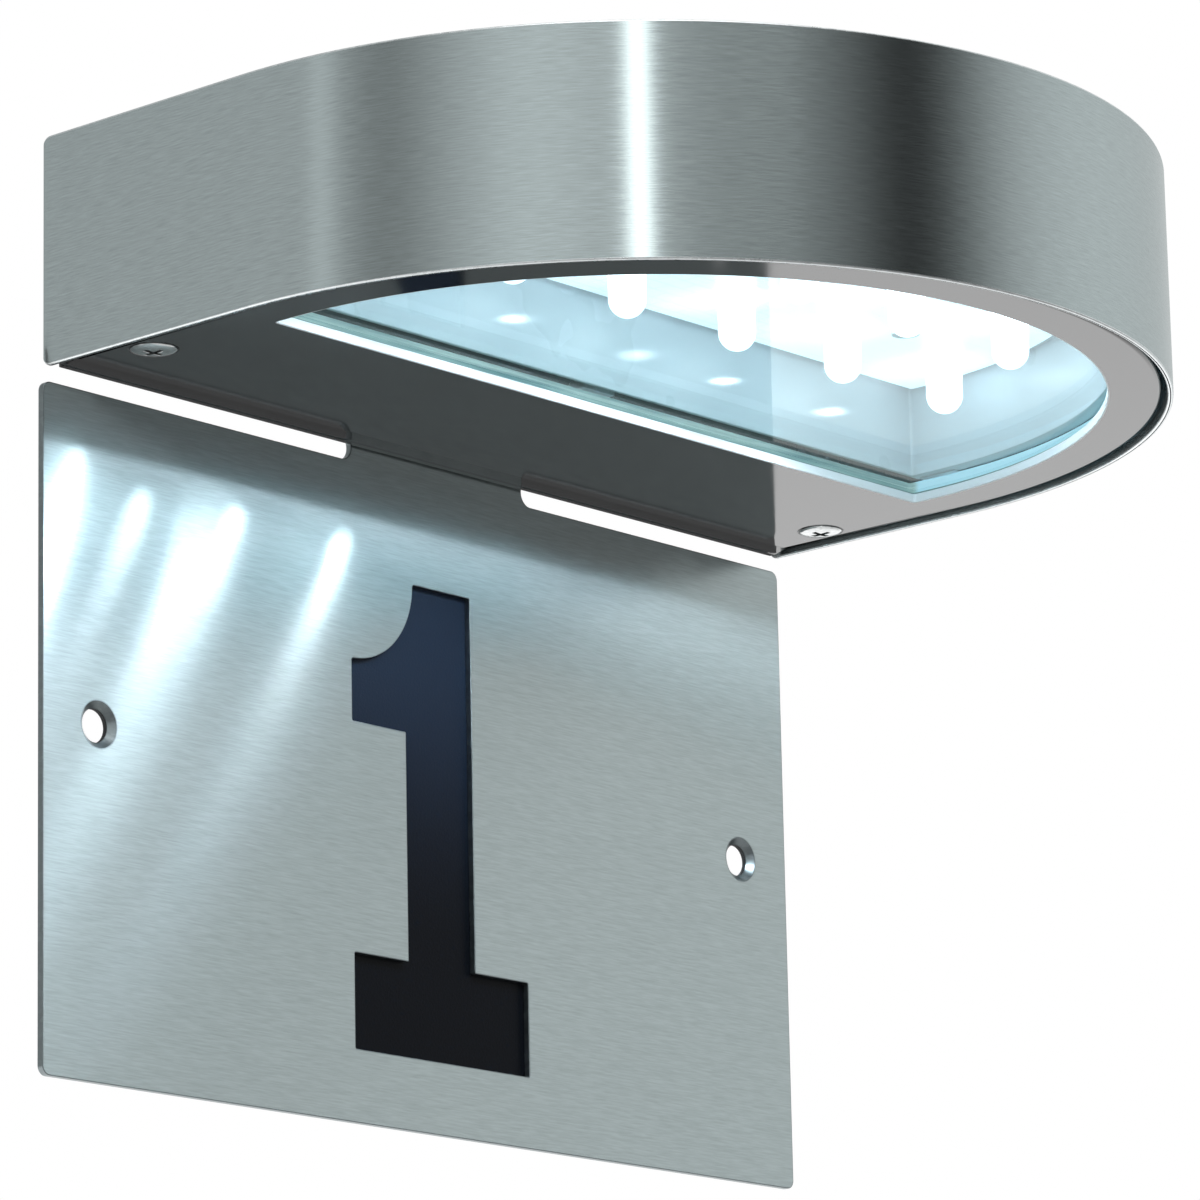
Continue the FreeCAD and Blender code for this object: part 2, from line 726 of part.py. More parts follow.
# ---------------------------------------------------------------- light chamber
def make_light_chamber():
    """White reflector tray, open downwards over the glass, that carries the LED board."""
    body = d_plate("light_chamber", CHAMBER_BOTTOM, D["chamber_height"], CHAMBER_RADIUS,
                   CHAMBER_REAR)
    hollow = d_outline(body, CHAMBER_BOTTOM, CHAMBER_INNER, ARC_DEPTH,
                       CHAMBER_REAR + D["chamber_sheet"])
    pocket(body, hollow, D["chamber_height"] - D["chamber_sheet"])
    holes = [rod("z", x, -depth, BOARD_TOP - 1, D["board_screw"] / 2 + D["weld_gap"],
                 D["chamber_sheet"] + 2) for _, x, depth in BOARD_POSTS]
    drop_x, drop_y = led_lead_hole()
    holes.append(rod("z", drop_x, drop_y, BOARD_TOP - 1, D["earth_lead_size"],
                     D["chamber_sheet"] + 2))
    node("light_chamber", cut(body, *holes))


def make_led_board():
    """D-shaped board under the tray's ceiling, with its screws and the posts above them."""
    rear = CHAMBER_REAR + D["chamber_sheet"] + D["board_margin"]
    body = d_plate("led_board", BOARD_BOTTOM, D["board_sheet"],
                   CHAMBER_INNER - D["board_margin"], rear)
    holes = [rod("z", x, -depth, BOARD_BOTTOM, D["board_screw"] / 2 + D["weld_gap"],
                 D["board_sheet"]) for _, x, depth in BOARD_POSTS]
    node("led_board", cut(body, *holes))
    for name, x, depth in BOARD_POSTS:
        post = rod("z", x, -depth, CHAMBER_TOP, D["board_post"] / 2, ROOF - CHAMBER_TOP)
        thread = rod("z", x, -depth, CHAMBER_TOP, D["board_screw"] / 2, D["board_screw_length"])
        node("board_post_" + name, cut(post, thread))
        node("board_screw_" + name,
             pan_screw(x, -depth, BOARD_BOTTOM, D["board_screw"], D["board_screw_length"]))


def led(name, x, depth):
    """One LED: a flange on the board and a bullet-shaped lens that points down."""
    flange_bottom = BOARD_BOTTOM - D["led_flange_height"]
    dome_top = flange_bottom - D["led_straight"]
    flange = rod("z", x, -depth, flange_bottom, D["led_flange"] / 2, D["led_flange_height"])
    stem = rod("z", x, -depth, dome_top, D["led_lens"] / 2, D["led_straight"])
    dome = doc.addObject("Part::Sphere", "Dome")
    bind(dome, "Radius", D["led_lens"] / 2)
    dome.Angle1 = -90
    dome.Angle2 = 0
    place(dome, x, -depth, dome_top)
    node(name, fuse(flange, stem, dome))


def make_leds():
    """Three staggered rows of LEDs, parallel to the wall."""
    rows = (("rear", 6), ("middle", 5), ("front", 2))
    pitch = (CHAMBER_INNER - D["led_edge"]) * 2 / (rows[0][1] - 1)
    for row, (place_name, count) in enumerate(rows):
        depth = D["opening_rear"] + D["led_setback"] + D["led_row"] * row
        for i in range(count):
            x = pitch * (i - (count - 1) / 2)
            led("led_%s_%d" % (place_name, i + 1), x, depth)


# ---------------------------------------------------------------- cover frame, glass and fastenings
def make_cover_frame():
    """Painted frame that closes the housing from below, with the D opening for the light."""
    rear = PLATE_FRONT + D["cover_rear_gap"]
    body = d_plate("cover_frame", COVER_BOTTOM, D["cover_sheet"], COVER_RADIUS, rear)
    opening = d_outline(body, COVER_BOTTOM, OPENING_RADIUS, ARC_DEPTH, D["opening_rear"])
    pocket(body, opening, D["cover_sheet"])
    fillet(body, D["cover_round"], is_lower_edge)
    sinks = []
    for _, side in SIDES:
        x = SCREW_X * side
        mouth = D["screw_head"] / 2 + D["running_gap"] * 1.5
        throat = D["screw_size"] / 2 + D["running_gap"] * 1.5
        sinks.append(cone("z", x, -D["screw_depth"], COVER_BOTTOM, mouth, throat,
                          D["cover_sheet"]))
    node("cover_frame", cut(body, *sinks))


def is_lower_edge(edge):
    """The edges around the cover frame's lower face."""
    span = edge.BoundBox
    return span.ZLength < 1e-6 and abs(span.ZMin - COVER_BOTTOM.value) < 1e-6


def make_glass():
    """Clear glass pane that rests on a flat seal inside the cover frame."""
    pane = d_plate("glass_pane", GLASS_BOTTOM, D["glass_sheet"], GLASS_RADIUS, GLASS_REAR)
    node("glass_pane", pane)
    seal_inset = D["glass_bearing"] - D["seal_width"]
    inset = seal_inset / 2
    body = d_plate("glass_seal", COVER_TOP, D["seal_sheet"], GLASS_RADIUS - inset,
                   GLASS_REAR + inset)
    hollow = d_outline(body, COVER_TOP, GLASS_RADIUS - inset - D["seal_width"], ARC_DEPTH,
                       GLASS_REAR + inset + D["seal_width"])
    pocket(body, hollow, D["seal_sheet"])
    node("glass_seal", body)


def make_glass_clips():
    """Three clips that hold the glass down on its seal, each with its screw."""
    half = D["clip_width"] / 2
    gap = D["running_gap"]
    for name, side in SIDES:
        edge = GLASS_RADIUS * side
        inner = edge - D["clip_lip"] * side
        outer = edge + D["clip_leg"] * side
        foot = edge + gap * side
        low, high = (outer, inner) if side < 0 else (inner, outer)
        leg_low, leg_high = (outer, foot) if side < 0 else (foot, outer)
        glass_clip(name, low, high, -ARC_DEPTH - half, -ARC_DEPTH + half, (leg_low, leg_high), None)
    edge = -GLASS_REAR
    glass_clip("rear", -half, half, edge - D["clip_lip"], edge + D["clip_leg"],
               None, (edge + gap, edge + D["clip_leg"]))


def glass_clip(name, x0, x1, y0, y1, leg_x, leg_y):
    """A lip over the glass and a leg beside it, bored for a screw through the leg."""
    top = GLASS_TOP + D["clip_sheet"]
    lx0, lx1 = leg_x or (x0, x1)
    ly0, ly1 = leg_y or (y0, y1)
    lip = box(x0, x1, y0, y1, GLASS_TOP, top)
    leg = box(lx0, lx1, ly0, ly1, COVER_TOP, top)
    x = (lx0 + lx1) / 2
    y = (ly0 + ly1) / 2
    radius = D["clip_screw"] / 2
    bore = rod("z", x, y, COVER_TOP, radius, top - COVER_TOP)
    node("glass_clip_" + name, cut(fuse(lip, leg), bore))
    shank = rod("z", x, y, COVER_TOP, radius, top - COVER_TOP)
    head = rod("z", x, y, top, radius * 1.9, radius)
    slot = box(x - radius * 2, x + radius * 2, y - radius / 5, y + radius / 5,
               top + radius / 2, top + radius + 1)
    node("clip_screw_" + name, cut(fuse(shank, head), slot))


def make_cover_fastenings():
    """The two cover screws, the posts that take them, and the locating stud in front."""
    base = COVER_BOTTOM - D["screw_proud"]
    cone_height = D["cover_sheet"] + D["screw_proud"]
    head = D["screw_head"] / 2
    shank_radius = D["screw_size"] / 2
    y = -D["screw_depth"]
    post_bottom = COVER_TOP + D["running_gap"]
    for name, side in SIDES:
        x = SCREW_X * side
        taper = cone("z", x, y, base, head, shank_radius, cone_height)
        shank = rod("z", x, y, base + cone_height, shank_radius, D["screw_length"])
        dome = doc.addObject("Part::Ellipsoid", "Dome")
        bind(dome, "Radius1", D["screw_dome"])
        bind(dome, "Radius2", head)
        bind(dome, "Radius3", head)
        dome.Angle1 = -90
        dome.Angle2 = 0
        place(dome, x, y, base)
        recess = cross_recess(x, y, base - D["screw_dome"], D["screw_size"])
        node("cover_screw_" + name, cut(fuse(taper, shank, dome), *recess))
        post = hexagon("z", x, y, post_bottom, D["post_flats"], ROOF - post_bottom)
        bore = rod("z", x, y, post_bottom, shank_radius + D["running_gap"],
                   D["screw_length"] + D["screw_size"])
        node("cover_post_" + name, cut(post, bore))


def make_front_locator():
    """Stud on the front of the cover frame and the socket inside the band that centres it."""
    y = -STUD_DEPTH
    radius = D["stud_size"] / 2
    node("front_stud", rod("z", ZERO, y, COVER_TOP, radius, D["stud_length"]))
    bottom = GLASS_TOP + D["running_gap"] * 2
    half = D["socket_width"] / 2
    inner = -ARC_DEPTH - CHAMBER_RADIUS - D["running_gap"]
    outer = -ARC_DEPTH - BAND_RADIUS
    block = box(-half, half, outer, inner, bottom, bottom + D["socket_height"])
    round_ = rod("z", ZERO, -ARC_DEPTH, bottom, SEAT_RADIUS, D["socket_height"])
    bore = rod("z", ZERO, y, bottom, radius + D["running_gap"], D["socket_height"])
    node("front_socket", cut(common(block, round_), bore))


def check_document():
    """Stops if any object failed to compute or any sub-part is not a valid solid."""
    for thing in doc.Objects:
        states = getattr(thing, "State", [])
        if "Invalid" in states or "Error" in states:
            raise RuntimeError("%s is %s" % (thing.Label, states))
    for thing in nodes:
        shape = thing.Shape
        if shape.isNull() or not shape.isValid() or len(shape.Solids) != 1:
            raise RuntimeError("%s has no single valid solid" % thing.Label)


make_wall_plate()
make_digit_backing()
make_fixing_pads()
make_wall_gasket()
make_housing_band()
make_housing_top()
make_housing_back()
make_plate_studs()
make_earth_point()
make_grommet()
make_driver()
make_terminal_block()
make_leads()
make_light_chamber()
make_led_board()
make_leds()
make_cover_frame()
make_glass()
make_glass_clips()
make_cover_fastenings()
make_front_locator()
doc.recompute()
check_document()

os.makedirs("parts", exist_ok=True)
for thing in nodes:
    thing.Shape.exportStep("parts/" + thing.Label + ".step")
print("wrote", len(nodes), "parts")
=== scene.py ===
"""Looks of the illuminated house number sign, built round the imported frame.

A brushed steel number plate with the cut-out figure 1 hangs under a D-shaped lamp of bent brushed
strip. The lamp's underside is a painted cover frame with a glass pane, and thirteen LEDs shine
through it from a white tray. Lengths in the functions are millimetres until a mesh is made.
"""

import math

import bpy
import numpy as np
from bpy.props import FloatProperty, FloatVectorProperty, PointerProperty
from mathutils import Matrix, Vector
from mathutils.geometry import tessellate_polygon


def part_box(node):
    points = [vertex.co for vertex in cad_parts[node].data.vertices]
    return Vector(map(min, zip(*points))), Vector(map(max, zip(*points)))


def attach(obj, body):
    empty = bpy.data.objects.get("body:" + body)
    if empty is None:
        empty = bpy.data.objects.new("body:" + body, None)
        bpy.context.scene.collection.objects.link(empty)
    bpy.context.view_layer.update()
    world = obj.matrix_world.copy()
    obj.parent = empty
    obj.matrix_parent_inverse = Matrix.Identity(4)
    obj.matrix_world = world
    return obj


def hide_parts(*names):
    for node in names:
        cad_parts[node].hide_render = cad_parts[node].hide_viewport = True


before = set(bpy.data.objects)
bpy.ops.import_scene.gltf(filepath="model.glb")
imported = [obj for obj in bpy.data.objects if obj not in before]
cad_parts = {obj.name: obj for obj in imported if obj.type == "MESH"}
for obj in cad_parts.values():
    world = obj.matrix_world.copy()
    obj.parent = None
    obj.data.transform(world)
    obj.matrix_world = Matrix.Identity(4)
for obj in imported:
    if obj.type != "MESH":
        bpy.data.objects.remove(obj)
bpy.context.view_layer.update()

bl_info = {
    "name": "Illuminated house number sign",
    "version": (1, 0, 0),
    "blender": (4, 5, 0),
    "location": "View3D > Sidebar > Number Sign",
    "description": "Builds the looks of a house number sign with an LED lamp over its plate",
    "category": "Object",
}

MM = 0.001
WHITE = (1.0, 1.0, 1.0, 1.0)
UPRIGHT = np.array([[1, 0, 0], [0, 0, -1], [0, 1, 0]], float)


def box_mm(node):
    """Lowest and highest corner of a frame node, in millimetres."""
    low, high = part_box(node)
    return np.array(low) / MM, np.array(high) / MM


PLATE_LOW, PLATE_HIGH = box_mm("wall_plate")
BAND_LOW, BAND_HIGH = box_mm("housing_band")
COVER_LOW, COVER_HIGH = box_mm("cover_frame")
GLASS_LOW, GLASS_HIGH = box_mm("glass_pane")
CHAMBER_LOW, CHAMBER_HIGH = box_mm("light_chamber")
ARC_DEPTH = -BAND_LOW[1] - BAND_HIGH[0]
LEDS = sorted(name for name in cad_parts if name.startswith("led_") and name != "led_board")
LED_TIP = box_mm(LEDS[0])[0][2]

# For a row of LEDs, or for one that differs from its row: how far its beam stands to the right of
# the lens and above its tip, in millimetres, and its share of a beam's power.
BEAMS = {
    "rear": (0.0, -5.5, 0.3),
    "rear_3": (2.5, -5.0, 0.3),
    "rear_4": (-4.5, -6.0, 0.45),
    "rear_5": (-5.0, -6.0, 0.48),
    "rear_6": (0.0, -6.0, 0.0),
    "middle": (0.0, 2.0, 1.0),
    "middle_3": (-8.0, 2.4, 1.0),
    "middle_4": (-2.0, 2.0, 1.0),
    "middle_5": (0.0, 2.0, 0.06),
    "front": (0.0, 2.0, 1.0),
}

# Soft panels round the horizon: azimuth and half width in degrees, and strength.
PANELS = (
    (40, 20, 0.25), (335, 30, 0.32), (202, 11, 0.36), (225, 1.8, 2.2), (225, 7, 0.12),
    (140, 16, 0.10), (157, 2.2, 0.28), (171, 7, -0.17), (248, 14, -0.07), (286, 14.5, -0.46),
)


# ---------------------------------------------------------------- sizes and colours
class SignSizes(bpy.types.PropertyGroup):
    """Small sizes of the finish, in metres."""

    plate_edge: FloatProperty(name="Plate edge", description="Rounding of the plate's cut edges",
                              default=0.00014, subtype="DISTANCE", unit="LENGTH")
    plate_corner: FloatProperty(name="Plate corner", description="Radius of the plate's corners",
                                default=0.002, subtype="DISTANCE", unit="LENGTH")
    figure_corner: FloatProperty(name="Figure corner",
                                 description="Radius that the cutting beam leaves in the figure",
                                 default=0.00035, subtype="DISTANCE", unit="LENGTH")
    band_corner: FloatProperty(name="Band corner", description="Radius of the strip's end corners",
                               default=0.002, subtype="DISTANCE", unit="LENGTH")
    band_edge: FloatProperty(name="Band edge", description="Rounding of the strip's long edges",
                             default=0.00045, subtype="DISTANCE", unit="LENGTH")
    cover_edge: FloatProperty(name="Cover edge", description="Rounding of the cover's lower edges",
                              default=0.001, subtype="DISTANCE", unit="LENGTH")
    glass_arris: FloatProperty(name="Glass arris", description="Ground arris of the pane",
                               default=0.0004, subtype="DISTANCE", unit="LENGTH")
    brush_length: FloatProperty(name="Brush stroke", description="Length of one brushed line",
                                default=0.0045, subtype="DISTANCE", unit="LENGTH")
    brush_width: FloatProperty(name="Brush line", description="Width of one brushed line",
                               default=0.00026, subtype="DISTANCE", unit="LENGTH")


class SignColours(bpy.types.PropertyGroup):
    """Colours of the finishes."""

    steel: FloatVectorProperty(name="Steel", description="Brushed stainless steel",
                               default=(0.553, 0.625, 0.630), subtype="COLOR", size=3)
    paint: FloatVectorProperty(name="Paint", description="Dark grey paint of the cover",
                               default=(0.017, 0.019, 0.021), subtype="COLOR", size=3)
    figure: FloatVectorProperty(name="Figure", description="Black sheet behind the figure",
                                default=(0.0012, 0.0018, 0.0035), subtype="COLOR", size=3)
    glass: FloatVectorProperty(name="Glass", description="Tint of the pane",
                               default=(0.93, 0.975, 0.97), subtype="COLOR", size=3)
    tray: FloatVectorProperty(name="Tray", description="White inside of the light tray",
                              default=(0.50, 0.57, 0.61), subtype="COLOR", size=3)
    light: FloatVectorProperty(name="LED light", description="Cold white of the LEDs",
                               default=(0.78, 0.90, 1.0), subtype="COLOR", size=3)


class SignStudio(bpy.types.PropertyGroup):
    """Light levels of the studio and of the lamp."""

    room: FloatProperty(name="Room", description="Level of the even room light", default=0.40)
    led: FloatProperty(name="LED", description="Brightness of an LED's foot", default=7.5)
    beam: FloatProperty(name="LED beam", description="Power of an LED's beam, in watts",
                        default=0.188)
    key: FloatProperty(name="Key light", description="Power of the soft light above, in watts",
                       default=4.0)
    lens: FloatProperty(name="Lens", description="Focal length of the camera, in millimetres",
                        default=189.06)


# ---------------------------------------------------------------- outlines and surfaces
def arc(centre, radius, start, stop, count):
    """Points centre + radius (cos a, sin a) for a from start to stop, with the normals to the
    left of travel: towards the centre where a grows, away from it where a falls."""
    a = np.linspace(start, stop, count)
    ring = np.column_stack([np.cos(a), np.sin(a)])
    side = -1.0 if stop > start else 1.0
    return np.hstack([np.asarray(centre, float) + radius * ring, side * ring])


def line(start, stop, shares=(0.0, 1.0)):
    """Points on a straight run at the given shares of its length, with their left normals."""
    start, stop = np.asarray(start, float), np.asarray(stop, float)
    along = (stop - start) / np.linalg.norm(stop - start)
    points = start + np.asarray(shares)[:, None] * (stop - start)
    return np.hstack([points, np.tile([-along[1], along[0]], (len(points), 1))])


def rounded(corners, radii, steps=5, closed=True):
    """Outline with an arc at each corner, and the normals to the left of travel.

    An arc starts radius / tan(half) before its corner, where half is half the corner's angle, and
    its centre lies radius / sin(half) from the corner on the bisector."""
    corners = np.asarray(corners, float)
    inner = slice(None) if closed else slice(1, -1)
    radii = np.broadcast_to(np.asarray(radii, float), len(corners))[inner, None]
    before = (np.roll(corners, 1, 0) - corners)[inner]
    after = (np.roll(corners, -1, 0) - corners)[inner]
    before /= np.linalg.norm(before, axis=1, keepdims=True)
    after /= np.linalg.norm(after, axis=1, keepdims=True)
    half = np.arccos(np.clip((before * after).sum(1), -1, 1))[:, None] / 2
    bisector = (before + after) / np.linalg.norm(before + after, axis=1, keepdims=True)
    centre = corners[inner] + bisector * radii / np.sin(half)
    start = corners[inner] + before * radii / np.tan(half) - centre
    turn = np.sign(before[:, 1] * after[:, 0] - before[:, 0] * after[:, 1])[:, None]
    share = np.linspace(0, 1, steps)[None, :]
    angle = np.arctan2(start[:, 1], start[:, 0])[:, None] + turn * (math.pi - 2 * half) * share
    ring = np.stack([np.cos(angle), np.sin(angle)], -1)
    points = centre[:, None] + radii[:, None] * ring
    path = np.concatenate([points, -turn[:, None] * ring], -1).reshape(-1, 4)
    if closed:
        return path
    first, last = line(corners[0], corners[1])[:1], line(corners[-2], corners[-1])[1:]
    return np.vstack([first, path, last])


def reversed_outline(outline):
    """The same outline travelled the other way, so that its left normals change sides."""
    return outline[::-1] * [1, 1, -1, -1]


def circle(x, y, radius, count=64):
    """Outline of a round hole: a falls from a whole turn to zero."""
    return arc((x, y), radius, 2 * math.pi, 0, count + 1)[:-1]


def d_outline(radius, rear, corner, count=121, steps=6):
    """The lamp's D plan: a half circle towards the front, straight sides and a straight rear edge
    at depth rear, with its two corners rounded."""
    edge = -rear - corner
    return np.vstack([
        arc((0, -ARC_DEPTH), radius, math.pi, 2 * math.pi, count),
        arc((radius - corner, edge), corner, 0, math.pi / 2, steps),
        arc((corner - radius, edge), corner, math.pi / 2, math.pi, steps)])


def edge(low, high, low_round, high_round=None, steps=5):
    """Rim of a sheet as (inset, height): along the lower face, up the cut edge and back along the
    upper face, with both edges rounded."""
    high_round = low_round if high_round is None else high_round
    return rounded([(low_round * 1.6, low), (0, low), (0, high), (high_round * 1.6, high)],
                   [0, low_round, high_round, 0], steps, closed=False)


def carried(outline, profile):
    """Surface of a profile carried along an outline. A point is the outline's point plus the
    profile's inset along the left normal, at the profile's height, and its normal is the
    profile's normal in the same two directions."""
    inset, height = profile[:, None, 0:1], profile[:, None, 1:2]
    flat = outline[None, :, :2] + inset * outline[None, :, 2:]
    tall = np.broadcast_to(height, flat.shape[:2] + (1,))
    normal = profile[:, None, 2:3] * outline[None, :, 2:]
    lift = np.broadcast_to(profile[:, None, 3:4], flat.shape[:2] + (1,))
    return np.concatenate([flat, tall], -1), np.concatenate([normal, lift], -1)


class Shell:
    """The points, normals, pattern coordinates and faces of one piece."""

    def __init__(self):
        self.points = np.zeros((0, 3))
        self.normals = np.zeros((0, 3))
        self.strokes = np.zeros((0, 2))
        self.faces = []
        self.finishes = []
        self.finish = 0

    def grid(self, points, normals, strokes=None, around=True):
        """Four-sided faces between neighbouring rows, closed round the columns."""
        rows, columns = points.shape[:2]
        index = len(self.points) + np.arange(rows * columns).reshape(rows, columns)
        if strokes is None:
            strokes = np.zeros((rows, columns, 2))
        self.points = np.vstack([self.points, points.reshape(-1, 3)])
        self.normals = np.vstack([self.normals, normals.reshape(-1, 3)])
        self.strokes = np.vstack([self.strokes, strokes.reshape(-1, 2)])
        ring = np.hstack([index, index[:, :1]]) if around else index
        quads = np.stack([ring[:-1, :-1], ring[:-1, 1:], ring[1:, 1:], ring[1:, :-1]], -1)
        self.add_faces(quads.reshape(-1, 4))
        return index

    def add_faces(self, faces):
        self.faces.extend(faces.tolist())
        self.finishes.extend([self.finish] * len(faces))

    def cap(self, loops, upward):
        """Flat face between closed loops, as triangles that look up or down."""
        index = np.concatenate(loops)
        flat = self.points[index][:, :2]
        outlines = [[Vector((x, y, 0)) for x, y in self.points[loop][:, :2]] for loop in loops]
        tris = np.array(tessellate_polygon(outlines))
        a, b, c = flat[tris[:, 0]], flat[tris[:, 1]], flat[tris[:, 2]]
        area = (b - a)[:, 0] * (c - a)[:, 1] - (b - a)[:, 1] * (c - a)[:, 0]
        wrong = (area > 0) != upward
        tris[wrong] = tris[wrong][:, ::-1]
        self.add_faces(index[tris])

    def sheet(self, rims, rim_finish=0):
        """A flat sheet: each rim is an outline and the profile of its edge, and flat faces join
        the profiles' first rows below and their last rows above."""
        self.finish = rim_finish
        rings = [self.grid(*carried(outline, profile)) for outline, profile in rims]
        self.finish = 0
        self.cap([ring[0] for ring in rings], False)
        self.cap([ring[-1] for ring in rings], True)

    def piece(self, name, finishes, body, nodes, turn=None, creased=None):
        """Make the mesh, give it its finishes, and put it in the nodes' place on the body."""
        points, normals = self.points * MM, self.normals
        if turn is not None:
            points, normals = points @ turn.T, normals @ turn.T
        mesh = bpy.data.meshes.new(name)
        mesh.from_pydata(points.tolist(), [], self.faces)
        mesh.polygons.foreach_set("use_smooth", np.ones(len(self.faces), bool))
        mesh.polygons.foreach_set("material_index", np.array(self.finishes, np.int32))
        corner = np.zeros(len(mesh.loops), np.int32)
        mesh.loops.foreach_get("vertex_index", corner)
        brush = mesh.uv_layers.new(name="brush")
        brush.uv.foreach_set("vector", (self.strokes[corner] * MM).ravel())
        for finish in finishes:
            mesh.materials.append(finish)
        if creased is None:
            mesh.normals_split_custom_set_from_vertices(normals.tolist())
        else:
            mesh.set_sharp_from_angle(angle=creased)
        mesh.update()
        thing = bpy.data.objects.new(name, mesh)
        bpy.context.scene.collection.objects.link(thing)
        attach(thing, body)
        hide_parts(*nodes)
        return thing


# ---------------------------------------------------------------- finishes
class Value:
    """One output socket, with arithmetic that adds Math nodes."""

    def __init__(self, nodes, socket):
        self.nodes = nodes
        self.socket = socket

    def math(self, operation, *others, clamp=False):
        inputs = dict(enumerate((self,) + others))
        return self.nodes.add("ShaderNodeMath", {"operation": operation, "use_clamp": clamp},
                              inputs)

    def __add__(self, other):
        return self.math("ADD", other)

    __radd__ = __add__

    def __sub__(self, other):
        return self.math("SUBTRACT", other)

    def __rsub__(self, other):
        return self.nodes.add("ShaderNodeMath", {"operation": "SUBTRACT"}, {0: other, 1: self})

    def __mul__(self, other):
        return self.math("MULTIPLY", other)

    __rmul__ = __mul__

    def __truediv__(self, other):
        return self.math("DIVIDE", other)

    def __pow__(self, other):
        return self.math("POWER", other)

    def clamped(self):
        """The same value, kept between 0 and 1."""
        return self.math("MULTIPLY", 1.0, clamp=True)

    def above(self, edge, soft):
        """0 below edge - soft, 1 above edge + soft."""
        return self.nodes.add("ShaderNodeMapRange", {"interpolation_type": "SMOOTHSTEP"},
                              {0: self, 1: edge - soft, 2: edge + soft})


class Nodes:
    """The node tree of one finish or of the world."""

    def __init__(self, owner):
        owner.use_nodes = True
        self.tree = owner.node_tree
        self.tree.nodes.clear()

    def add(self, kind, settings=None, inputs=None, output=0):
        """A node of a kind, its settings, then the values or links of its sockets."""
        node = self.tree.nodes.new(kind)
        for key, value in (settings or {}).items():
            setattr(node, key, value)
        for key, value in (inputs or {}).items():
            if isinstance(value, Value):
                self.tree.links.new(value.socket, node.inputs[key])
            else:
                node.inputs[key].default_value = value
        return Value(self, node.outputs[output]) if len(node.outputs) else node

    def place(self):
        """Object coordinates."""
        return self.add("ShaderNodeTexCoord", output="Object")

    def axis(self, vector, letter):
        return self.add("ShaderNodeSeparateXYZ", None, {0: vector}, letter)

    def noise(self, vector, scale, detail=3.0, rough=0.5):
        """Noise between 0 and 1, stretched by one scale for each axis."""
        stretched = self.add("ShaderNodeMapping", None, {"Vector": vector, "Scale": scale})
        return self.add("ShaderNodeTexNoise", None,
                        {"Vector": stretched, "Scale": 1.0, "Detail": detail, "Roughness": rough})

    def blend(self, factor, first, second):
        """Colour between two others."""
        return self.add("ShaderNodeMix", {"data_type": "RGBA"},
                        {0: factor, 6: colour4(first), 7: colour4(second)}, 2)

    def bump(self, height, distance, strength=1.0):
        return self.add("ShaderNodeBump", None,
                        {"Height": height, "Distance": distance, "Strength": strength})

    def mix(self, factor, first, second):
        """Shader between two others."""
        return self.add("ShaderNodeMixShader", None, {0: factor, 1: first, 2: second})

    def clear(self, colour=WHITE):
        """Transparent shader."""
        return self.add("ShaderNodeBsdfTransparent", None, {"Color": colour})

    def glow(self, strength, colour=WHITE):
        """Emission shader."""
        return self.add("ShaderNodeEmission", None, {"Color": colour, "Strength": strength})

    def ray(self, kind):
        """1 for rays of one kind, such as Is Camera Ray, or the length of any ray."""
        return self.add("ShaderNodeLightPath", output=kind)

    def surface(self, inputs):
        """A Principled shader on the output."""
        self.show(self.add("ShaderNodeBsdfPrincipled", None, inputs))

    def show(self, shader, kind="ShaderNodeOutputMaterial"):
        """A shader on the output."""
        self.add(kind, None, {"Surface": shader})


def colour4(colour):
    """A plain colour with its alpha, or a linked one as it is."""
    return colour if isinstance(colour, Value) else (*colour, 1.0)


def shaded(colour, share):
    """A colour times a number."""
    return tuple(c * share for c in colour)


def finish(name):
    """A new material and its nodes."""
    material = bpy.data.materials.new(name)
    return material, Nodes(material)


def brushed_steel(name, steel, length, width, wrapped, roughness, lobes):
    """Steel with fine lines along the brushing. The lines follow the piece's own coordinates
    where it is bent (wrapped), and Object coordinates where it is flat. Each lobe is a share of
    the gloss with more roughness than the rest; one with a third number is stretched that far
    across the lines, from 0 to 1, and draws long narrow streaks under a small lamp."""
    material, n = finish(name)
    place = n.add("ShaderNodeUVMap", {"uv_map": "brush"}) if wrapped else n.place()

    def scale(long, narrow):
        return (1 / long, 1 / narrow, 1.0) if wrapped else (1 / long, 1 / long, 1 / narrow)

    fine = n.noise(place, scale(length, width), 2.0)
    broad = n.noise(place, scale(length * 3.4, width * 5.0), 3.0, 0.6)
    tone = (fine - 0.5) * 1.2 + (broad - 0.5) * 0.25
    colour = n.blend(tone + 0.5, shaded(steel, 0.82), shaded(steel, 1.18))
    rough = roughness + (fine - 0.5) * 0.06 + (broad - 0.5) * 0.04
    relief = n.bump(fine, 0.00002, 0.6)

    def lobe(more, stretch=None):
        if stretch is None:
            return n.add("ShaderNodeBsdfPrincipled", None,
                         {"Base Color": colour, "Metallic": 1.0, "Roughness": rough + more,
                          "Anisotropic": 1.0, "Anisotropic Rotation": 0.25, "Normal": relief})
        return n.add("ShaderNodeBsdfAnisotropic", {"distribution": "GGX"},
                     {"Color": colour, "Roughness": roughness + more, "Anisotropy": stretch,
                      "Rotation": 0.25, "Normal": relief})

    gloss = lobe(0.0)
    for share, *size in lobes:
        gloss = n.mix(share, gloss, lobe(*size))
    n.show(gloss)
    return material


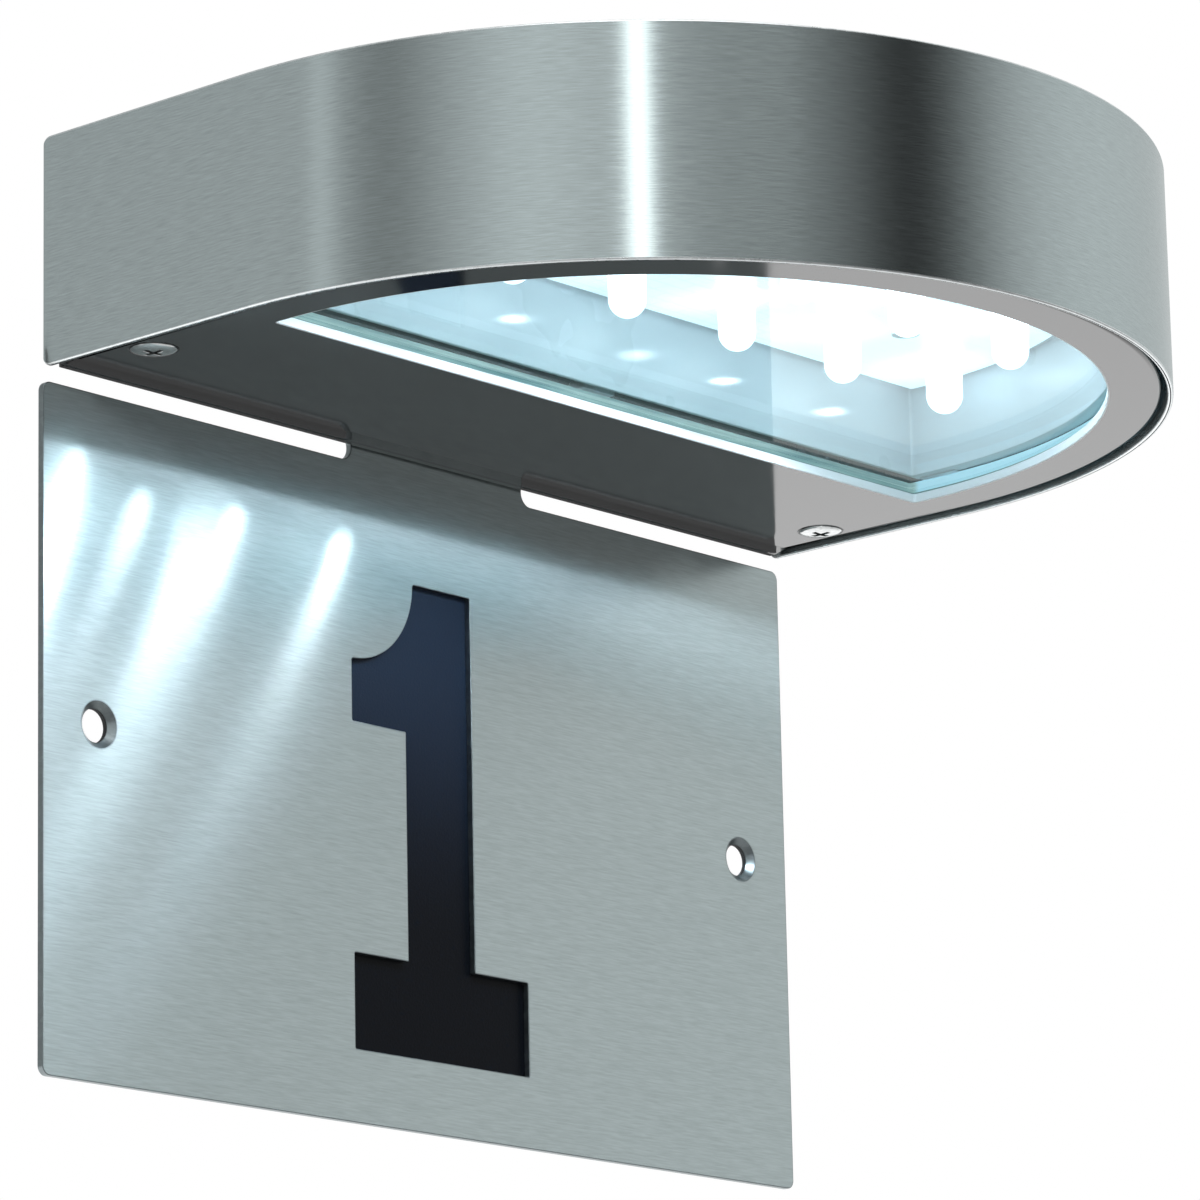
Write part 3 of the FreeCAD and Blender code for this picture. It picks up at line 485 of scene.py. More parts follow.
def painted(name, colour, roughness=0.09, grain=0.00045, depth=0.000006, ior=2.0):
    """Stove-enamelled metal: fine orange peel and a soft cloud in its gloss."""
    material, n = finish(name)
    place = n.place()
    peel = n.noise(place, (1 / grain,) * 3, 3.0, 0.6)
    cloud = n.noise(place, (40,) * 3, 3.0)
    base = n.blend(peel * 0.6 + cloud * 0.4, shaded(colour, 0.80), shaded(colour, 1.22))
    rough = roughness + (cloud - 0.5) * 0.05 + (peel - 0.5) * 0.05
    n.surface({"Base Color": base, "Roughness": rough, "IOR": ior,
               "Normal": n.bump(peel, depth, 0.35)})
    return material


def figure_black(name, colour):
    """Black foil with a fine pressed grain, and a painted bluish sheen of the LEDs' light that
    grows towards its top.
    """
    material, n = finish(name)
    place = n.place()
    grain_size, cell_size, sheen_middle, sheen_reach = 0.00050, 0.00065, 0.016, 0.05
    grain = n.noise(place, (1 / grain_size,) * 3, 4.0, 0.65)
    cells = n.add("ShaderNodeTexVoronoi", {"feature": "F1"},
                  {"Vector": place, "Scale": 1 / cell_size})
    height = grain * 0.6 + cells * 0.4
    black = n.blend(height, shaded(colour, 0.55), shaded(colour, 1.5))
    # The blue towards the top is a painted sheen: the LEDs' reflection set into the colour.
    painted_sheen = n.axis(place, "Z").above(sheen_middle, sheen_reach)
    base = n.blend(painted_sheen, black, (0.012, 0.021, 0.040))
    n.surface({"Base Color": base, "Roughness": 0.32 + (grain - 0.5) * 0.15, "IOR": 1.20,
               "Normal": n.bump(height, 0.00008, 0.5)})
    return material


def clear_glass(name, tint):
    """Flat float glass. Its gloss grows towards grazing sight as 0.04 + 0.28 (1 - cos)^5, the
    rest goes through with a slight tint, and lamps shine through it. A thin film on its upper
    face catches their light."""
    material, n = finish(name)
    facing = n.add("ShaderNodeLayerWeight", None, {"Blend": 0.5}, "Facing")
    gloss = facing ** 5.0 * 0.28 + 0.04
    ripple = n.noise(n.place(), (25,) * 3, 2.0)
    mirror = n.add("ShaderNodeBsdfGlossy", None,
                   {"Color": (0.95, 1.0, 1.0, 1.0), "Roughness": 0.03,
                    "Normal": n.bump(ripple, 0.0004, 0.15)})
    pane = n.mix(gloss, n.clear(colour4(tint)), mirror)
    film = n.add("ShaderNodeBsdfTranslucent", None, {"Color": (0.88, 0.96, 1.0, 1.0)})
    upper = n.axis(n.place(), "Z").above((GLASS_HIGH[2] - 0.4) * MM, 0.2 * MM)
    filmed = n.mix(upper * (ripple * 0.016 + 0.002), pane, film)
    n.show(n.mix(n.ray("Is Shadow Ray"), filmed, n.clear()))
    return material


def cut_glass(name):
    """Cut edge of the pane, with a painted glow in place of the light that it leads: milky green
    in layers along the straight rear edge, and an even pale blue round the rest."""
    material, n = finish(name)
    place = n.place()
    layers = n.noise(place, (18, 18, 1400), 3.0, 0.6)
    cloud = n.noise(place, (60, 60, 60), 3.0)
    tone = ((layers - 0.5) * 2.2 + (cloud - 0.5) * 1.0 + 0.5).clamped()
    layered = n.blend(tone, (0.05, 0.14, 0.16), (0.42, 0.60, 0.58))
    rear = n.axis(place, "Y").above((GLASS_HIGH[1] - 2.0) * MM, 1.0 * MM)
    # The edge's emission is a painted glow; the pane's edge is no lamp.
    glow = n.blend(rear, (0.46, 0.78, 0.94), layered)
    n.surface({"Base Color": (0.10, 0.20, 0.20, 1.0), "Roughness": 0.3 + cloud * 0.2,
               "Normal": n.bump(layers, 0.00004, 0.4), "Emission Color": glow,
               "Emission Strength": 0.8})
    return material


def tray_white(name, colour, roughness=0.28):
    """White powder coat with a light orange peel and a soft cloud."""
    material, n = finish(name)
    place = n.place()
    peel_size = 0.0009
    peel = n.noise(place, (1 / peel_size,) * 3, 3.0)
    cloud = n.noise(place, (30,) * 3, 3.0)
    base = n.blend(peel * 0.4 + cloud * 0.6, shaded(colour, 0.93), shaded(colour, 1.05))
    n.surface({"Base Color": base, "Roughness": roughness + (cloud - 0.5) * 0.08,
               "Normal": n.bump(peel, 0.00004, 0.4)})
    return material


def board_white(name, light, level):
    """White solder mask with faint conductor paths under it, and a painted glow in place of the
    LEDs' glare.
    """
    material, n = finish(name)
    place = n.place()
    paths = n.add("ShaderNodeTexBrick", None,
                  {"Vector": place, "Color1": (1, 1, 1, 1), "Color2": (1, 1, 1, 1),
                   "Mortar": (0, 0, 0, 1), "Scale": 60.0, "Mortar Size": 0.02})
    mottle = n.noise(place, (400,) * 3)
    base = n.blend(paths * 0.7 + mottle * 0.3, (0.68, 0.78, 0.80), (0.80, 0.88, 0.90))
    # The board's emission is a painted glow; the board is no lamp.
    n.surface({"Base Color": base, "Roughness": 0.25 + mottle * 0.1,
               "Normal": n.bump(paths, 0.00003, 0.4), "Emission Color": colour4(light),
               "Emission Strength": level})
    return material


def lens_light(name, light, level):
    """LED lens lit from within, brightest at its foot, which lamps shine through."""
    material, n = finish(name)
    place = n.place()
    foot = (n.axis(place, "Z") / MM).above(LED_TIP + 8.8, 2.6)
    mottle = n.noise(place, (900,) * 3)
    glow = n.blend(foot * (0.9 + mottle * 0.2), shaded(light, 0.20), light)
    lens = n.add("ShaderNodeBsdfPrincipled", None, {
        "Base Color": (0.85, 0.93, 0.95, 1.0), "Roughness": 0.15 + mottle * 0.05,
        "Emission Color": glow, "Emission Strength": level})
    n.show(n.mix(n.ray("Is Shadow Ray"), lens, n.clear()))
    return material


def moulded(name, colour, roughness=0.5, grain=0.0004, depth=0.00005):
    """Moulded plastic or rubber with a fine sparked grain and a little dust."""
    material, n = finish(name)
    place = n.place()
    spark = n.noise(place, (1 / grain,) * 3, 4.0, 0.6)
    dust = n.noise(place, (120,) * 3, 3.0).above(0.62, 0.08)
    light = tuple(min(1.0, c * 1.25 + 0.01) for c in colour)
    base = n.blend(spark * 0.7 + dust * 0.3, shaded(colour, 0.82), light)
    n.surface({"Base Color": base, "Roughness": roughness + (spark - 0.5) * 0.16,
               "Normal": n.bump(spark, depth, 0.5)})
    return material


def bare_metal(name, colour, roughness, spangle):
    """Plated or turned metal: crystal patches of slightly different tone, and fine scratches."""
    material, n = finish(name)
    place = n.place()
    patch = n.add("ShaderNodeTexVoronoi", {"feature": "F1"},
                  {"Vector": place, "Scale": 1 / spangle}, "Color")
    tone = n.axis(patch, "X")
    scratch = n.noise(place, (300, 300, 5000), 2.0)
    base = n.blend(tone * 0.5 + scratch * 0.5, shaded(colour, 0.78), shaded(colour, 1.12))
    n.surface({"Base Color": base, "Metallic": 1.0,
               "Roughness": roughness + (tone - 0.5) * 0.08 + (scratch - 0.5) * 0.10,
               "Normal": n.bump(scratch, 0.000006, 0.4)})
    return material


FINISHES = {}


def make_finishes(sizes, colours, studio):
    """Every finish of the sign by the record's slot, then those for a part of a piece."""
    steel = tuple(colours.steel)
    stroke, fine = sizes.brush_length, sizes.brush_width
    plate_lobes, band_lobes = ((0.30, 0.23), (0.36, 0.19, 0.87)), ((0.15, 0.23),)
    FINISHES.update({
        # The plate's steel is the band's steel made 1.30 times lighter: painted light that
        # brightens the plate.
        "brushed_plate": brushed_steel("plate_brushed_lit_copy", shaded(steel, 1.30), stroke, fine, False,
                                       0.15, plate_lobes),
        "brushed_band": brushed_steel("band_brushed", steel, stroke, fine, True, 0.19,
                                      band_lobes),
        "grey_paint": painted("cover_paint", tuple(colours.paint)),
        "digit_black": figure_black("figure_foil", tuple(colours.figure)),
        "glass": clear_glass("pane_glass", tuple(colours.glass)),
        "reflector": tray_white("tray_coat", tuple(colours.tray)),
        "board_white": board_white("board_mask_painted_glow", tuple(colours.light), 0.6),
        "led_lens": lens_light("lens_glow", tuple(colours.light), studio.led),
        "rubber": moulded("seal_rubber", (0.035, 0.036, 0.038), 0.7),
        "driver_plastic": moulded("driver_shell", (0.75, 0.76, 0.75), 0.45),
        "terminal_plastic": moulded("terminal_shell", (0.70, 0.70, 0.66), 0.4),
        "lead_brown": moulded("lead_brown_cover", (0.17, 0.065, 0.030), 0.45),
        "lead_blue": moulded("lead_blue_cover", (0.03, 0.12, 0.42), 0.45),
        "lead_earth": moulded("lead_earth_cover", (0.16, 0.40, 0.05), 0.45),
        "lead_led": moulded("lead_grey_cover", (0.42, 0.43, 0.43), 0.45),
        "zinc": bare_metal("zinc_plate", (0.62, 0.64, 0.66), 0.34, 0.0012),
        "stainless": bare_metal("screw_steel", (0.72, 0.74, 0.74), 0.13, 0.0009),
        "glass_edge": cut_glass("pane_cut_edge_painted_glow"),
        # The dark metal in the screws' cross recess is painted shade.
        "recess": bare_metal("screw_recess_painted_shade", (0.16, 0.17, 0.17), 0.45, 0.0009),
        "ground_edge": bare_metal("band_ground_edge", (0.92, 0.96, 0.97), 0.30, 0.0012),
        "cut_edge": bare_metal("plate_cut_edge", (0.30, 0.34, 0.35), 0.36, 0.0012),
        "rim_white": tray_white("pane_bead", (0.82, 0.86, 0.88), 0.4),
        "seal_clear": moulded("seal_silicone", (0.22, 0.33, 0.31), 0.35),
    })


# ---------------------------------------------------------------- plate
def figure_outline(corner):
    """The figure 1: foot, stem and a flag whose top is hollowed by a quarter circle. The hollow
    meets its neighbours through chamfers as long as a corner radius."""
    low, high = box_mm("digit_backing")
    margin = 6.0
    foot_tall, stem_off, stem_wide = 20.4, 16.4, 20.5
    flag_tall, hollow = 13.6, 19.0
    left, right = low[0] + margin, high[0] - margin
    bottom, top = low[2] + margin, high[2] - margin
    stem_left, stem_right = left + stem_off, left + stem_off + stem_wide
    flag_top = top - hollow
    run = rounded([
        (left, flag_top - corner), (left, flag_top - flag_tall),
        (stem_left, flag_top - flag_tall), (stem_left, bottom + foot_tall),
        (left, bottom + foot_tall), (left, bottom), (right, bottom),
        (right, bottom + foot_tall), (stem_right, bottom + foot_tall), (stem_right, top),
        (left + hollow + corner, top)], corner, 4, closed=False)
    slip = corner / hollow
    return np.vstack([run, arc((left, top), hollow, -slip, slip - math.pi / 2, 25)])


def plate_outline(corner):
    """Number plate, neck and mounting panel of one sheet, with the two slots open to the sides."""
    half = PLATE_HIGH[0]
    bottom, panel_top = PLATE_LOW[2], PLATE_HIGH[2]
    plate_top, slot = 69.0, 6.0
    neck_left, neck_right = -25.3, 28.3
    panel_half, panel_low = 112.5, plate_top + slot
    bend = slot / 2 - 0.05
    return rounded([
        (-half, bottom), (half, bottom), (half, plate_top), (neck_right, plate_top),
        (neck_right, panel_low), (panel_half, panel_low), (panel_half, panel_top),
        (-panel_half, panel_top), (-panel_half, panel_low), (neck_left, panel_low),
        (neck_left, plate_top), (-half, plate_top)],
        [corner, corner, corner, bend, bend, corner, corner, corner, corner, bend, bend, corner],
        10)


class SIGN_OT_wall_plate(bpy.types.Operator):
    """Number plate and mounting panel with the figure cut through"""

    bl_idname = "sign.wall_plate"
    bl_label = "Wall plate"

    def execute(self, context):
        sizes = context.scene.sign_sizes
        soft = sizes.plate_edge / MM
        low, high = -PLATE_HIGH[1], -PLATE_LOW[1]
        rim = edge(low, high, soft)
        rims = [(plate_outline(sizes.plate_corner / MM), rim),
                (reversed_outline(figure_outline(sizes.figure_corner / MM)), rim)]
        bore, bevel, fixing_x = 3.5, 1.4, 99.5
        cone = rounded([(soft * 1.6, low), (0, low), (0, high - bevel), (bevel, high),
                        (bevel + soft * 1.6, high)],
                       [0, soft, soft, soft * 0.6, 0], 5, closed=False)
        rims += [(circle(x, 0, bore), cone) for x in (-fixing_x, fixing_x)]
        upper_z, upper_x, upper_bore, stud_x, stud_bore = 84, 66, 2.75, 97, 2.0
        rims += [(circle(x, upper_z, upper_bore), rim) for x in (-upper_x, upper_x)]
        rims += [(circle(x, upper_z, stud_bore, 40), rim) for x in (-stud_x, stud_x)]
        cable_x, cable_z, cable_bore = -36, 88, 6.1
        rims += [(circle(cable_x, cable_z, cable_bore), rim)]
        shell = Shell()
        shell.sheet(rims, 1)
        shell.piece("number_plate",
                    [FINISHES["brushed_plate"], FINISHES["cut_edge"]], "housing",
                    ["wall_plate"], UPRIGHT)
        return {"FINISHED"}


# ---------------------------------------------------------------- lamp housing
def band_outline(rear, soft, corner):
    """Closed plan of the bent strip: outer side, one end, inner side and the other end. Near the
    ends the points stand at corner (1 - cos t), so that the end corners can be rounded."""
    outer, wall = BAND_HIGH[0], 1.2
    inner = outer - wall
    t = np.linspace(0.25, math.pi / 2, 9)
    reach = corner * (1 - np.cos(t))
    length = ARC_DEPTH - rear
    shares = np.concatenate([[soft / length], reach[reach > soft * 1.05] / length])
    back, middle = 1 - shares[::-1], (0, -ARC_DEPTH)
    end = -rear - soft
    pi = math.pi
    return np.vstack([
        line((-outer, -rear), (-outer, -ARC_DEPTH), shares),
        arc(middle, outer, pi, 2 * pi, 181),
        line((outer, -ARC_DEPTH), (outer, -rear), back),
        arc((outer - soft, end), soft, 0, pi / 2, 5)[1:],
        arc((inner + soft, end), soft, pi / 2, pi, 5)[:-1],
        line((inner, -rear), (inner, -ARC_DEPTH), shares),
        arc(middle, inner, 2 * pi, pi, 181),
        line((-inner, -ARC_DEPTH), (-inner, -rear), back),
        arc((-inner - soft, end), soft, 0, pi / 2, 5)[1:],
        arc((soft - outer, end), soft, pi / 2, pi, 5)[:-1]])


class SIGN_OT_housing_band(bpy.types.Operator):
    """Brushed steel strip bent to the D plan"""

    bl_idname = "sign.housing_band"
    bl_label = "Housing band"

    def execute(self, context):
        sizes = context.scene.sign_sizes
        soft, corner = sizes.band_edge / MM, sizes.band_corner / MM
        rear = -BAND_HIGH[1]
        outline = band_outline(rear, soft, corner)
        profile = edge(BAND_LOW[2], BAND_HIGH[2], soft)
        points, normals = carried(outline, profile)
        gap = np.clip(corner - (-points[..., 1] - rear), 0, corner)
        drop = corner - np.sqrt(corner ** 2 - gap ** 2)
        middle = (BAND_LOW[2] + BAND_HIGH[2]) / 2
        points[..., 2] -= np.sign(points[..., 2] - middle) * drop
        steps = np.linalg.norm(np.diff(outline[:, :2], axis=0, prepend=outline[:1, :2]), axis=1)
        along = np.broadcast_to(np.cumsum(steps), points.shape[:2])
        shell = Shell()
        ring = shell.grid(points, normals, np.stack([along, points[..., 2]], -1))
        upright = profile[:-1, 2] + profile[1:, 2] < -1.99
        shell.finishes = np.repeat(np.where(upright, 0, 1), len(outline)).tolist()
        shell.finish = 1
        shell.cap([ring[0]], False)
        shell.cap([ring[-1]], True)
        shell.piece("lamp_band",
                    [FINISHES["brushed_band"], FINISHES["ground_edge"]], "housing",
                    ["housing_band"])
        return {"FINISHED"}


class SIGN_OT_cover_frame(bpy.types.Operator):
    """Painted cover frame with the D opening and two countersunk holes"""

    bl_idname = "sign.cover_frame"
    bl_label = "Cover frame"

    def execute(self, context):
        soft = context.scene.sign_sizes.cover_edge / MM
        low, high = COVER_LOW[2], COVER_HIGH[2]
        opening_radius, opening_rear = 100.8, 54.5
        lower_arris, upper_arris, opening_corner, corner = 0.25, 0.15, 0.7, 0.8
        mouth, throat, screw_x, screw_depth, flat = 5.25, 2.95, 104.9, 24.0, 0.3
        cone = rounded([(mouth - throat + flat, low), (mouth - throat, low), (0, high),
                        (flat, high)], [0, 0.1, 0.05, 0], 4, closed=False)
        shell = Shell()
        shell.finish = 1
        opening = reversed_outline(d_outline(opening_radius, opening_rear, opening_corner))
        inner = shell.grid(*carried(opening, edge(low, high, lower_arris, upper_arris)))
        shell.finish = 0
        outline = d_outline(COVER_HIGH[0], -COVER_HIGH[1], corner)
        outer = shell.grid(*carried(outline, edge(low, high, soft, upper_arris)))
        holes = [shell.grid(*carried(circle(x, -screw_depth, throat, 48), cone))
                 for x in (-screw_x, screw_x)]
        rings = [outer, inner] + holes
        shell.cap([ring[0] for ring in rings], False)
        shell.cap([ring[-1] for ring in rings], True)
        self.rolled_edge(shell, low)
        shell.piece("cover_plate", [FINISHES["grey_paint"], FINISHES["rim_white"]],
                    "cover", ["cover_frame"])
        return {"FINISHED"}

    def rolled_edge(self, shell, low):
        """Roll along the rear edge: its section in y and z goes straight across in x."""
        rear, reach = COVER_HIGH[1], COVER_HIGH[0] - 0.7
        drop, width, depth, sunk = 0.9, 1.6, 5, 0.3
        section = rounded([(rear - depth, low + sunk), (rear, low + sunk), (rear, low - drop),
                           (rear - width, low - drop), (rear - depth, low - 0.02)],
                          [0, 0, 0.35, 1.2, 0], 6)
        section = np.vstack([section, section[:1]])[:, None, :]
        across = np.array([[-reach, reach]])
        points = np.broadcast_arrays(across, section[..., 0], section[..., 1])
        normals = np.broadcast_arrays(0 * across, section[..., 2], section[..., 3])
        roll = shell.grid(np.stack(points, -1), np.stack(normals, -1), around=False)
        shell.add_faces(roll[:-1, :1].T)
        shell.add_faces(roll[:-1, 1:].T[:, ::-1])


class SIGN_OT_glass_pane(bpy.types.Operator):
    """Glass pane with ground edges"""

    bl_idname = "sign.glass_pane"
    bl_label = "Glass pane"

    def execute(self, context):
        arris = context.scene.sign_sizes.glass_arris / MM
        shell = Shell()
        shell.sheet([(d_outline(GLASS_HIGH[0], -GLASS_HIGH[1], 1.0),
                      edge(GLASS_LOW[2], GLASS_HIGH[2], arris))], 1)
        shell.piece("pane", [FINISHES["glass"], FINISHES["glass_edge"]], "cover",
                    ["glass_pane"])
        return {"FINISHED"}


def cross_radius(angle, arm, half):
    """Distance from the centre to the outline of a cross of two bars: the larger of the two bars'
    own distances, min(arm / |cos|, half / |sin|) for one and the same turned for the other."""
    c, s = np.abs(np.cos(angle)) + 1e-9, np.abs(np.sin(angle)) + 1e-9
    return np.maximum(np.minimum(arm / c, half / s), np.minimum(arm / s, half / c))


class SIGN_OT_cover_screws(bpy.types.Operator):
    """Two raised countersunk screws with a cross recess"""

    bl_idname = "sign.cover_screws"
    bl_label = "Cover screws"

    def execute(self, context):
        for side in ("left", "right"):
            low, high = box_mm("cover_screw_" + side)
            x, y = (low[:2] + high[:2]) / 2
            angle, radius, tall = self.surface(low[2], high[2])
            points = np.stack([x + radius * np.cos(angle), y + radius * np.sin(angle), tall], -1)
            shell = Shell()
            ring = shell.grid(points, np.zeros_like(points))
            # Rows inside the cross recess take the dark finish: painted shade.
            recess = np.arange(len(tall) - 1) < 2
            shell.finishes = np.repeat(np.where(recess, 1, 0), len(angle)).tolist()
            shell.cap([ring[-1]], True)
            shell.finish = 1
            shell.cap([ring[0]], False)
            shell.piece("cover_bolt_" + side,
                        [FINISHES["stainless"], FINISHES["recess"]], "cover_screw_" + side,
                        ["cover_screw_" + side], creased=math.radians(28))
        return {"FINISHED"}

    def surface(self, low, tip):
        """Angles, and the radius and height at each angle, row by row from the recess over the
        dome to the tip. The dome is a flattened half sphere, base - dome sqrt(1 - (r / head)^2).
        The thread is a zigzag in the radius that rises by its pitch in a turn."""
        columns, head, shank, dome, rim, cone = 144, 4.8, 2.5, 0.8, 0.12, 2.1
        pitch, thread, chamfer = 0.8, 0.34, 0.6
        angle = np.linspace(0, 2 * math.pi, columns, endpoint=False)
        base, foot = low + dome, low + dome + cone

        def height(r):
            return base - dome * np.sqrt(np.clip(1 - (r / head) ** 2, 0, 1))

        flat = np.ones(columns)
        rows = [(flat * 0.06, flat * (low + 1.9)),
                (cross_radius(angle, 1.5, 0.36), flat * (low + 1.65))]
        for arm, half, lift in ((2.35, 0.56, 0.10), (2.45, 0.64, 0.02), (2.56, 0.74, 0.0)):
            r = cross_radius(angle, arm, half)
            rows.append((r, height(r) + lift))
        inner = rows[-1][0]
        for share in np.linspace(0.15, 1, 9):
            r = inner + (head - 0.02 - inner) * share
            rows.append((r, height(r)))
        rows += [(flat * head, flat * (base + rim)), (flat * shank, flat * foot)]
        for z in np.arange(foot, tip - chamfer, pitch / 6)[1:]:
            wave = np.abs(((z / pitch - angle / (2 * math.pi)) % 1.0) * 2 - 1)
            rows.append((shank - thread * wave, flat * z))
        rows.append((flat * (shank - chamfer), flat * tip))
        return angle, np.array([row[0] for row in rows]), np.array([row[1] for row in rows])


# ---------------------------------------------------------------- light tray and LEDs
class SIGN_OT_light_tray(bpy.types.Operator):
    """White reflector tray, open towards the glass"""

    bl_idname = "sign.light_tray"
    bl_label = "Light tray"

    def execute(self, context):
        wall, flat, corner = 1.0, 0.8, 1.6
        lip_tall, lip_round, lip_margin, lip_sunk, lip_rear = 0.6, 0.15, 0.5, 0.5, 0.1
        low, high = CHAMBER_LOW[2], CHAMBER_HIGH[2]
        radius, rear = CHAMBER_HIGH[0], -CHAMBER_HIGH[1]
        profile = rounded([(wall + flat, high - wall), (wall, high - wall), (wall, low), (0, low),
                           (0, high), (flat, high)], [0, 0.45, 0.3, 0.3, 0.5, 0], 5, closed=False)
        shell = Shell()
        shell.sheet([(d_outline(radius, rear, corner), profile)])
        lip = edge(low, low + lip_tall, lip_round)
        outside = d_outline(GLASS_HIGH[0] - lip_margin, rear + lip_rear, corner)
        inside = reversed_outline(d_outline(radius - lip_sunk, rear + lip_sunk, corner))
        shell.sheet([(outside, lip), (inside, lip)])
        shell.piece("light_tray", [FINISHES["reflector"]], "housing",
                    ["light_chamber"])
        return {"FINISHED"}


class SIGN_OT_leds(bpy.types.Operator):
    """LEDs: a flange on the board and a bullet-shaped lens that points down"""

    bl_idname = "sign.leds"
    bl_label = "LEDs"

    def execute(self, context):
        for node in LEDS:
            low, high = box_mm(node)
            x, y = (low[:2] + high[:2]) / 2
            flange, lens, flange_tall = (high[0] - low[0]) / 2, 4.0, 0.9
            round_z, seat = low[2] + lens, high[2] - flange_tall
            t = np.linspace(0.02, math.pi / 2, 14)[:-1]
            dome = np.column_stack([-lens * np.sin(t), round_z - lens * np.cos(t),
                                    -np.sin(t), -np.cos(t)])
            stem = rounded([(-lens, round_z), (-lens, seat), (-flange, seat),
                            (-flange, high[2]), (-lens, high[2])], [0, 0.25, 0.2, 0.15, 0], 4,
                           closed=False)
            ring = arc((x, y), 0.0, 0, 2 * math.pi, 41)[:-1]
            shell = Shell()
            body = shell.grid(*carried(ring, np.vstack([dome, stem])))
            shell.cap([body[0]], False)
            shell.cap([body[-1]], True)
            shell.piece("lamp_" + node, [FINISHES["led_lens"]], "housing", [node])
        return {"FINISHED"}


class SIGN_OT_kept_nodes(bpy.types.Operator):
    """Finishes of the frame's own pieces"""

    bl_idname = "sign.kept_nodes"
    bl_label = "Kept pieces"

    def execute(self, context):
        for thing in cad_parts.values():
            for index, material in enumerate(thing.data.materials):
                thing.data.materials[index] = FINISHES[material.name]
        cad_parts["glass_seal"].data.materials[0] = FINISHES["seal_clear"]
        return {"FINISHED"}


# ---------------------------------------------------------------- studio
def studio_world(studio):
    """Room light that changes round the horizon. Each panel adds
    strength exp(sharp (cos(azimuth - own azimuth) - 1)), and one of negative strength is a black
    flag. The camera and rays through glass see white."""
    world = bpy.data.worlds.new("studio")
    n = Nodes(world)
    way = n.add("ShaderNodeTexCoord", output="Generated")
    x, y, z = (n.axis(way, letter) for letter in "XYZ")
    flat = (x * x + y * y).math("SQRT").math("MAXIMUM", 0.02)
    level = n.add("ShaderNodeValue")
    level.socket.default_value = studio.room
    for azimuth, width, strength in PANELS:
        a = math.radians(azimuth)
        near = (x * math.cos(a) + y * math.sin(a)) / flat
        sharp = 1 / math.radians(width) ** 2
        level = level + ((near - 1.0) * sharp).math("EXPONENT") * strength
    level = level.math("MAXIMUM", 0.02)
    room = n.add("ShaderNodeBackground", None, {"Color": (0.97, 1.0, 1.0, 1.0), "Strength": level})
    white = n.add("ShaderNodeBackground", None, {"Color": WHITE, "Strength": 1.0})
    seen = n.ray("Is Camera Ray").math("MAXIMUM", n.ray("Is Transmission Ray"))
    n.show(n.mix(seen, room, white), "ShaderNodeOutputWorld")
    bpy.context.scene.world = world


def pale_floor():
    """A wide disc far below the sign: rings r = radius t^2 round the vertical axis. The camera
    sees it nearly white. What mirrors it sees a painted reflection: dark in front of the sign and
    brighter than white behind it."""
    rings, columns, radius, height = 24, 96, 6000, -900.0
    t = np.linspace(0.05, 1, rings)
    ring = arc((0, 0), 0.0, 0, 2 * math.pi, columns + 1)[:-1]
    rows = np.column_stack([-radius * t ** 2, np.full(rings, height), 0 * t, 0 * t + 1])
    points, normals = carried(ring, rows)
    mesh = bpy.data.meshes.new("floor")
    index = np.arange(rings * columns).reshape(rings, columns)
    around = np.hstack([index, index[:, :1]])
    quads = np.stack([around[:-1, :-1], around[1:, :-1], around[1:, 1:], around[:-1, 1:]], -1)
    faces = quads.reshape(-1, 4).tolist() + [index[0].tolist()]
    mesh.from_pydata((points.reshape(-1, 3) * MM).tolist(), [], faces)
    material, n = finish("floor_paint_and_painted_reflection")
    cloud = n.noise(n.place(), (3,) * 3)
    matt = n.add("ShaderNodeBsdfPrincipled", None, {
        "Base Color": n.blend(cloud, (0.78, 0.78, 0.77), (0.82, 0.82, 0.81)), "Roughness": 0.7})
    # Glossy rays see a painted reflection: dark in front of the sign, brighter than white behind
    # it.
    behind = n.axis(n.place(), "Y").above(0.0, 1.5)
    mirrored = n.glow(1.32, n.blend(behind, (0.18, 0.18, 0.18), (1.0, 1.0, 1.0)))
    floor = n.mix(n.ray("Is Camera Ray"), matt, n.glow(0.94))
    n.show(n.mix(n.ray("Is Glossy Ray"), floor, mirrored))
    mesh.materials.append(material)
    floor = bpy.data.objects.new("floor", mesh)
    bpy.context.scene.collection.objects.link(floor)


def soft_lamp(name, place, target, size, power):
    """A square soft light that looks at a point."""
    lamp = bpy.data.lights.new(name, "AREA")
    lamp.shape = "SQUARE"
    lamp.size = size
    lamp.energy = power
    thing = bpy.data.objects.new(name, lamp)
    thing.location = place
    thing.rotation_euler = (Vector(target) - Vector(place)).to_track_quat("-Z", "Y").to_euler()
    bpy.context.scene.collection.objects.link(thing)


def led_beam(node, colour, power):
    """The beam of one LED: a small round lamp that shines down in a cone with a soft rim. Its
    height decides where the cover cuts the beam off on the plate."""
    lens_radius, cone, soft_share = 0.0012, math.radians(160), 0.6
    low, high = box_mm(node)
    row = node.removeprefix("led_")
    shift, lift, share = BEAMS.get(row, BEAMS[row.split("_")[0]])
    lamp = bpy.data.lights.new("beam_" + node, "SPOT")
    lamp.energy, lamp.color = power * share, colour
    lamp.shadow_soft_size = lens_radius
    lamp.spot_size, lamp.spot_blend = cone, soft_share
    thing = bpy.data.objects.new("beam_" + node, lamp)
    across, out = (low[:2] + high[:2]) / 2
    thing.location = Vector((across + shift, out, low[2] + lift)) * MM
    bpy.context.scene.collection.objects.link(thing)


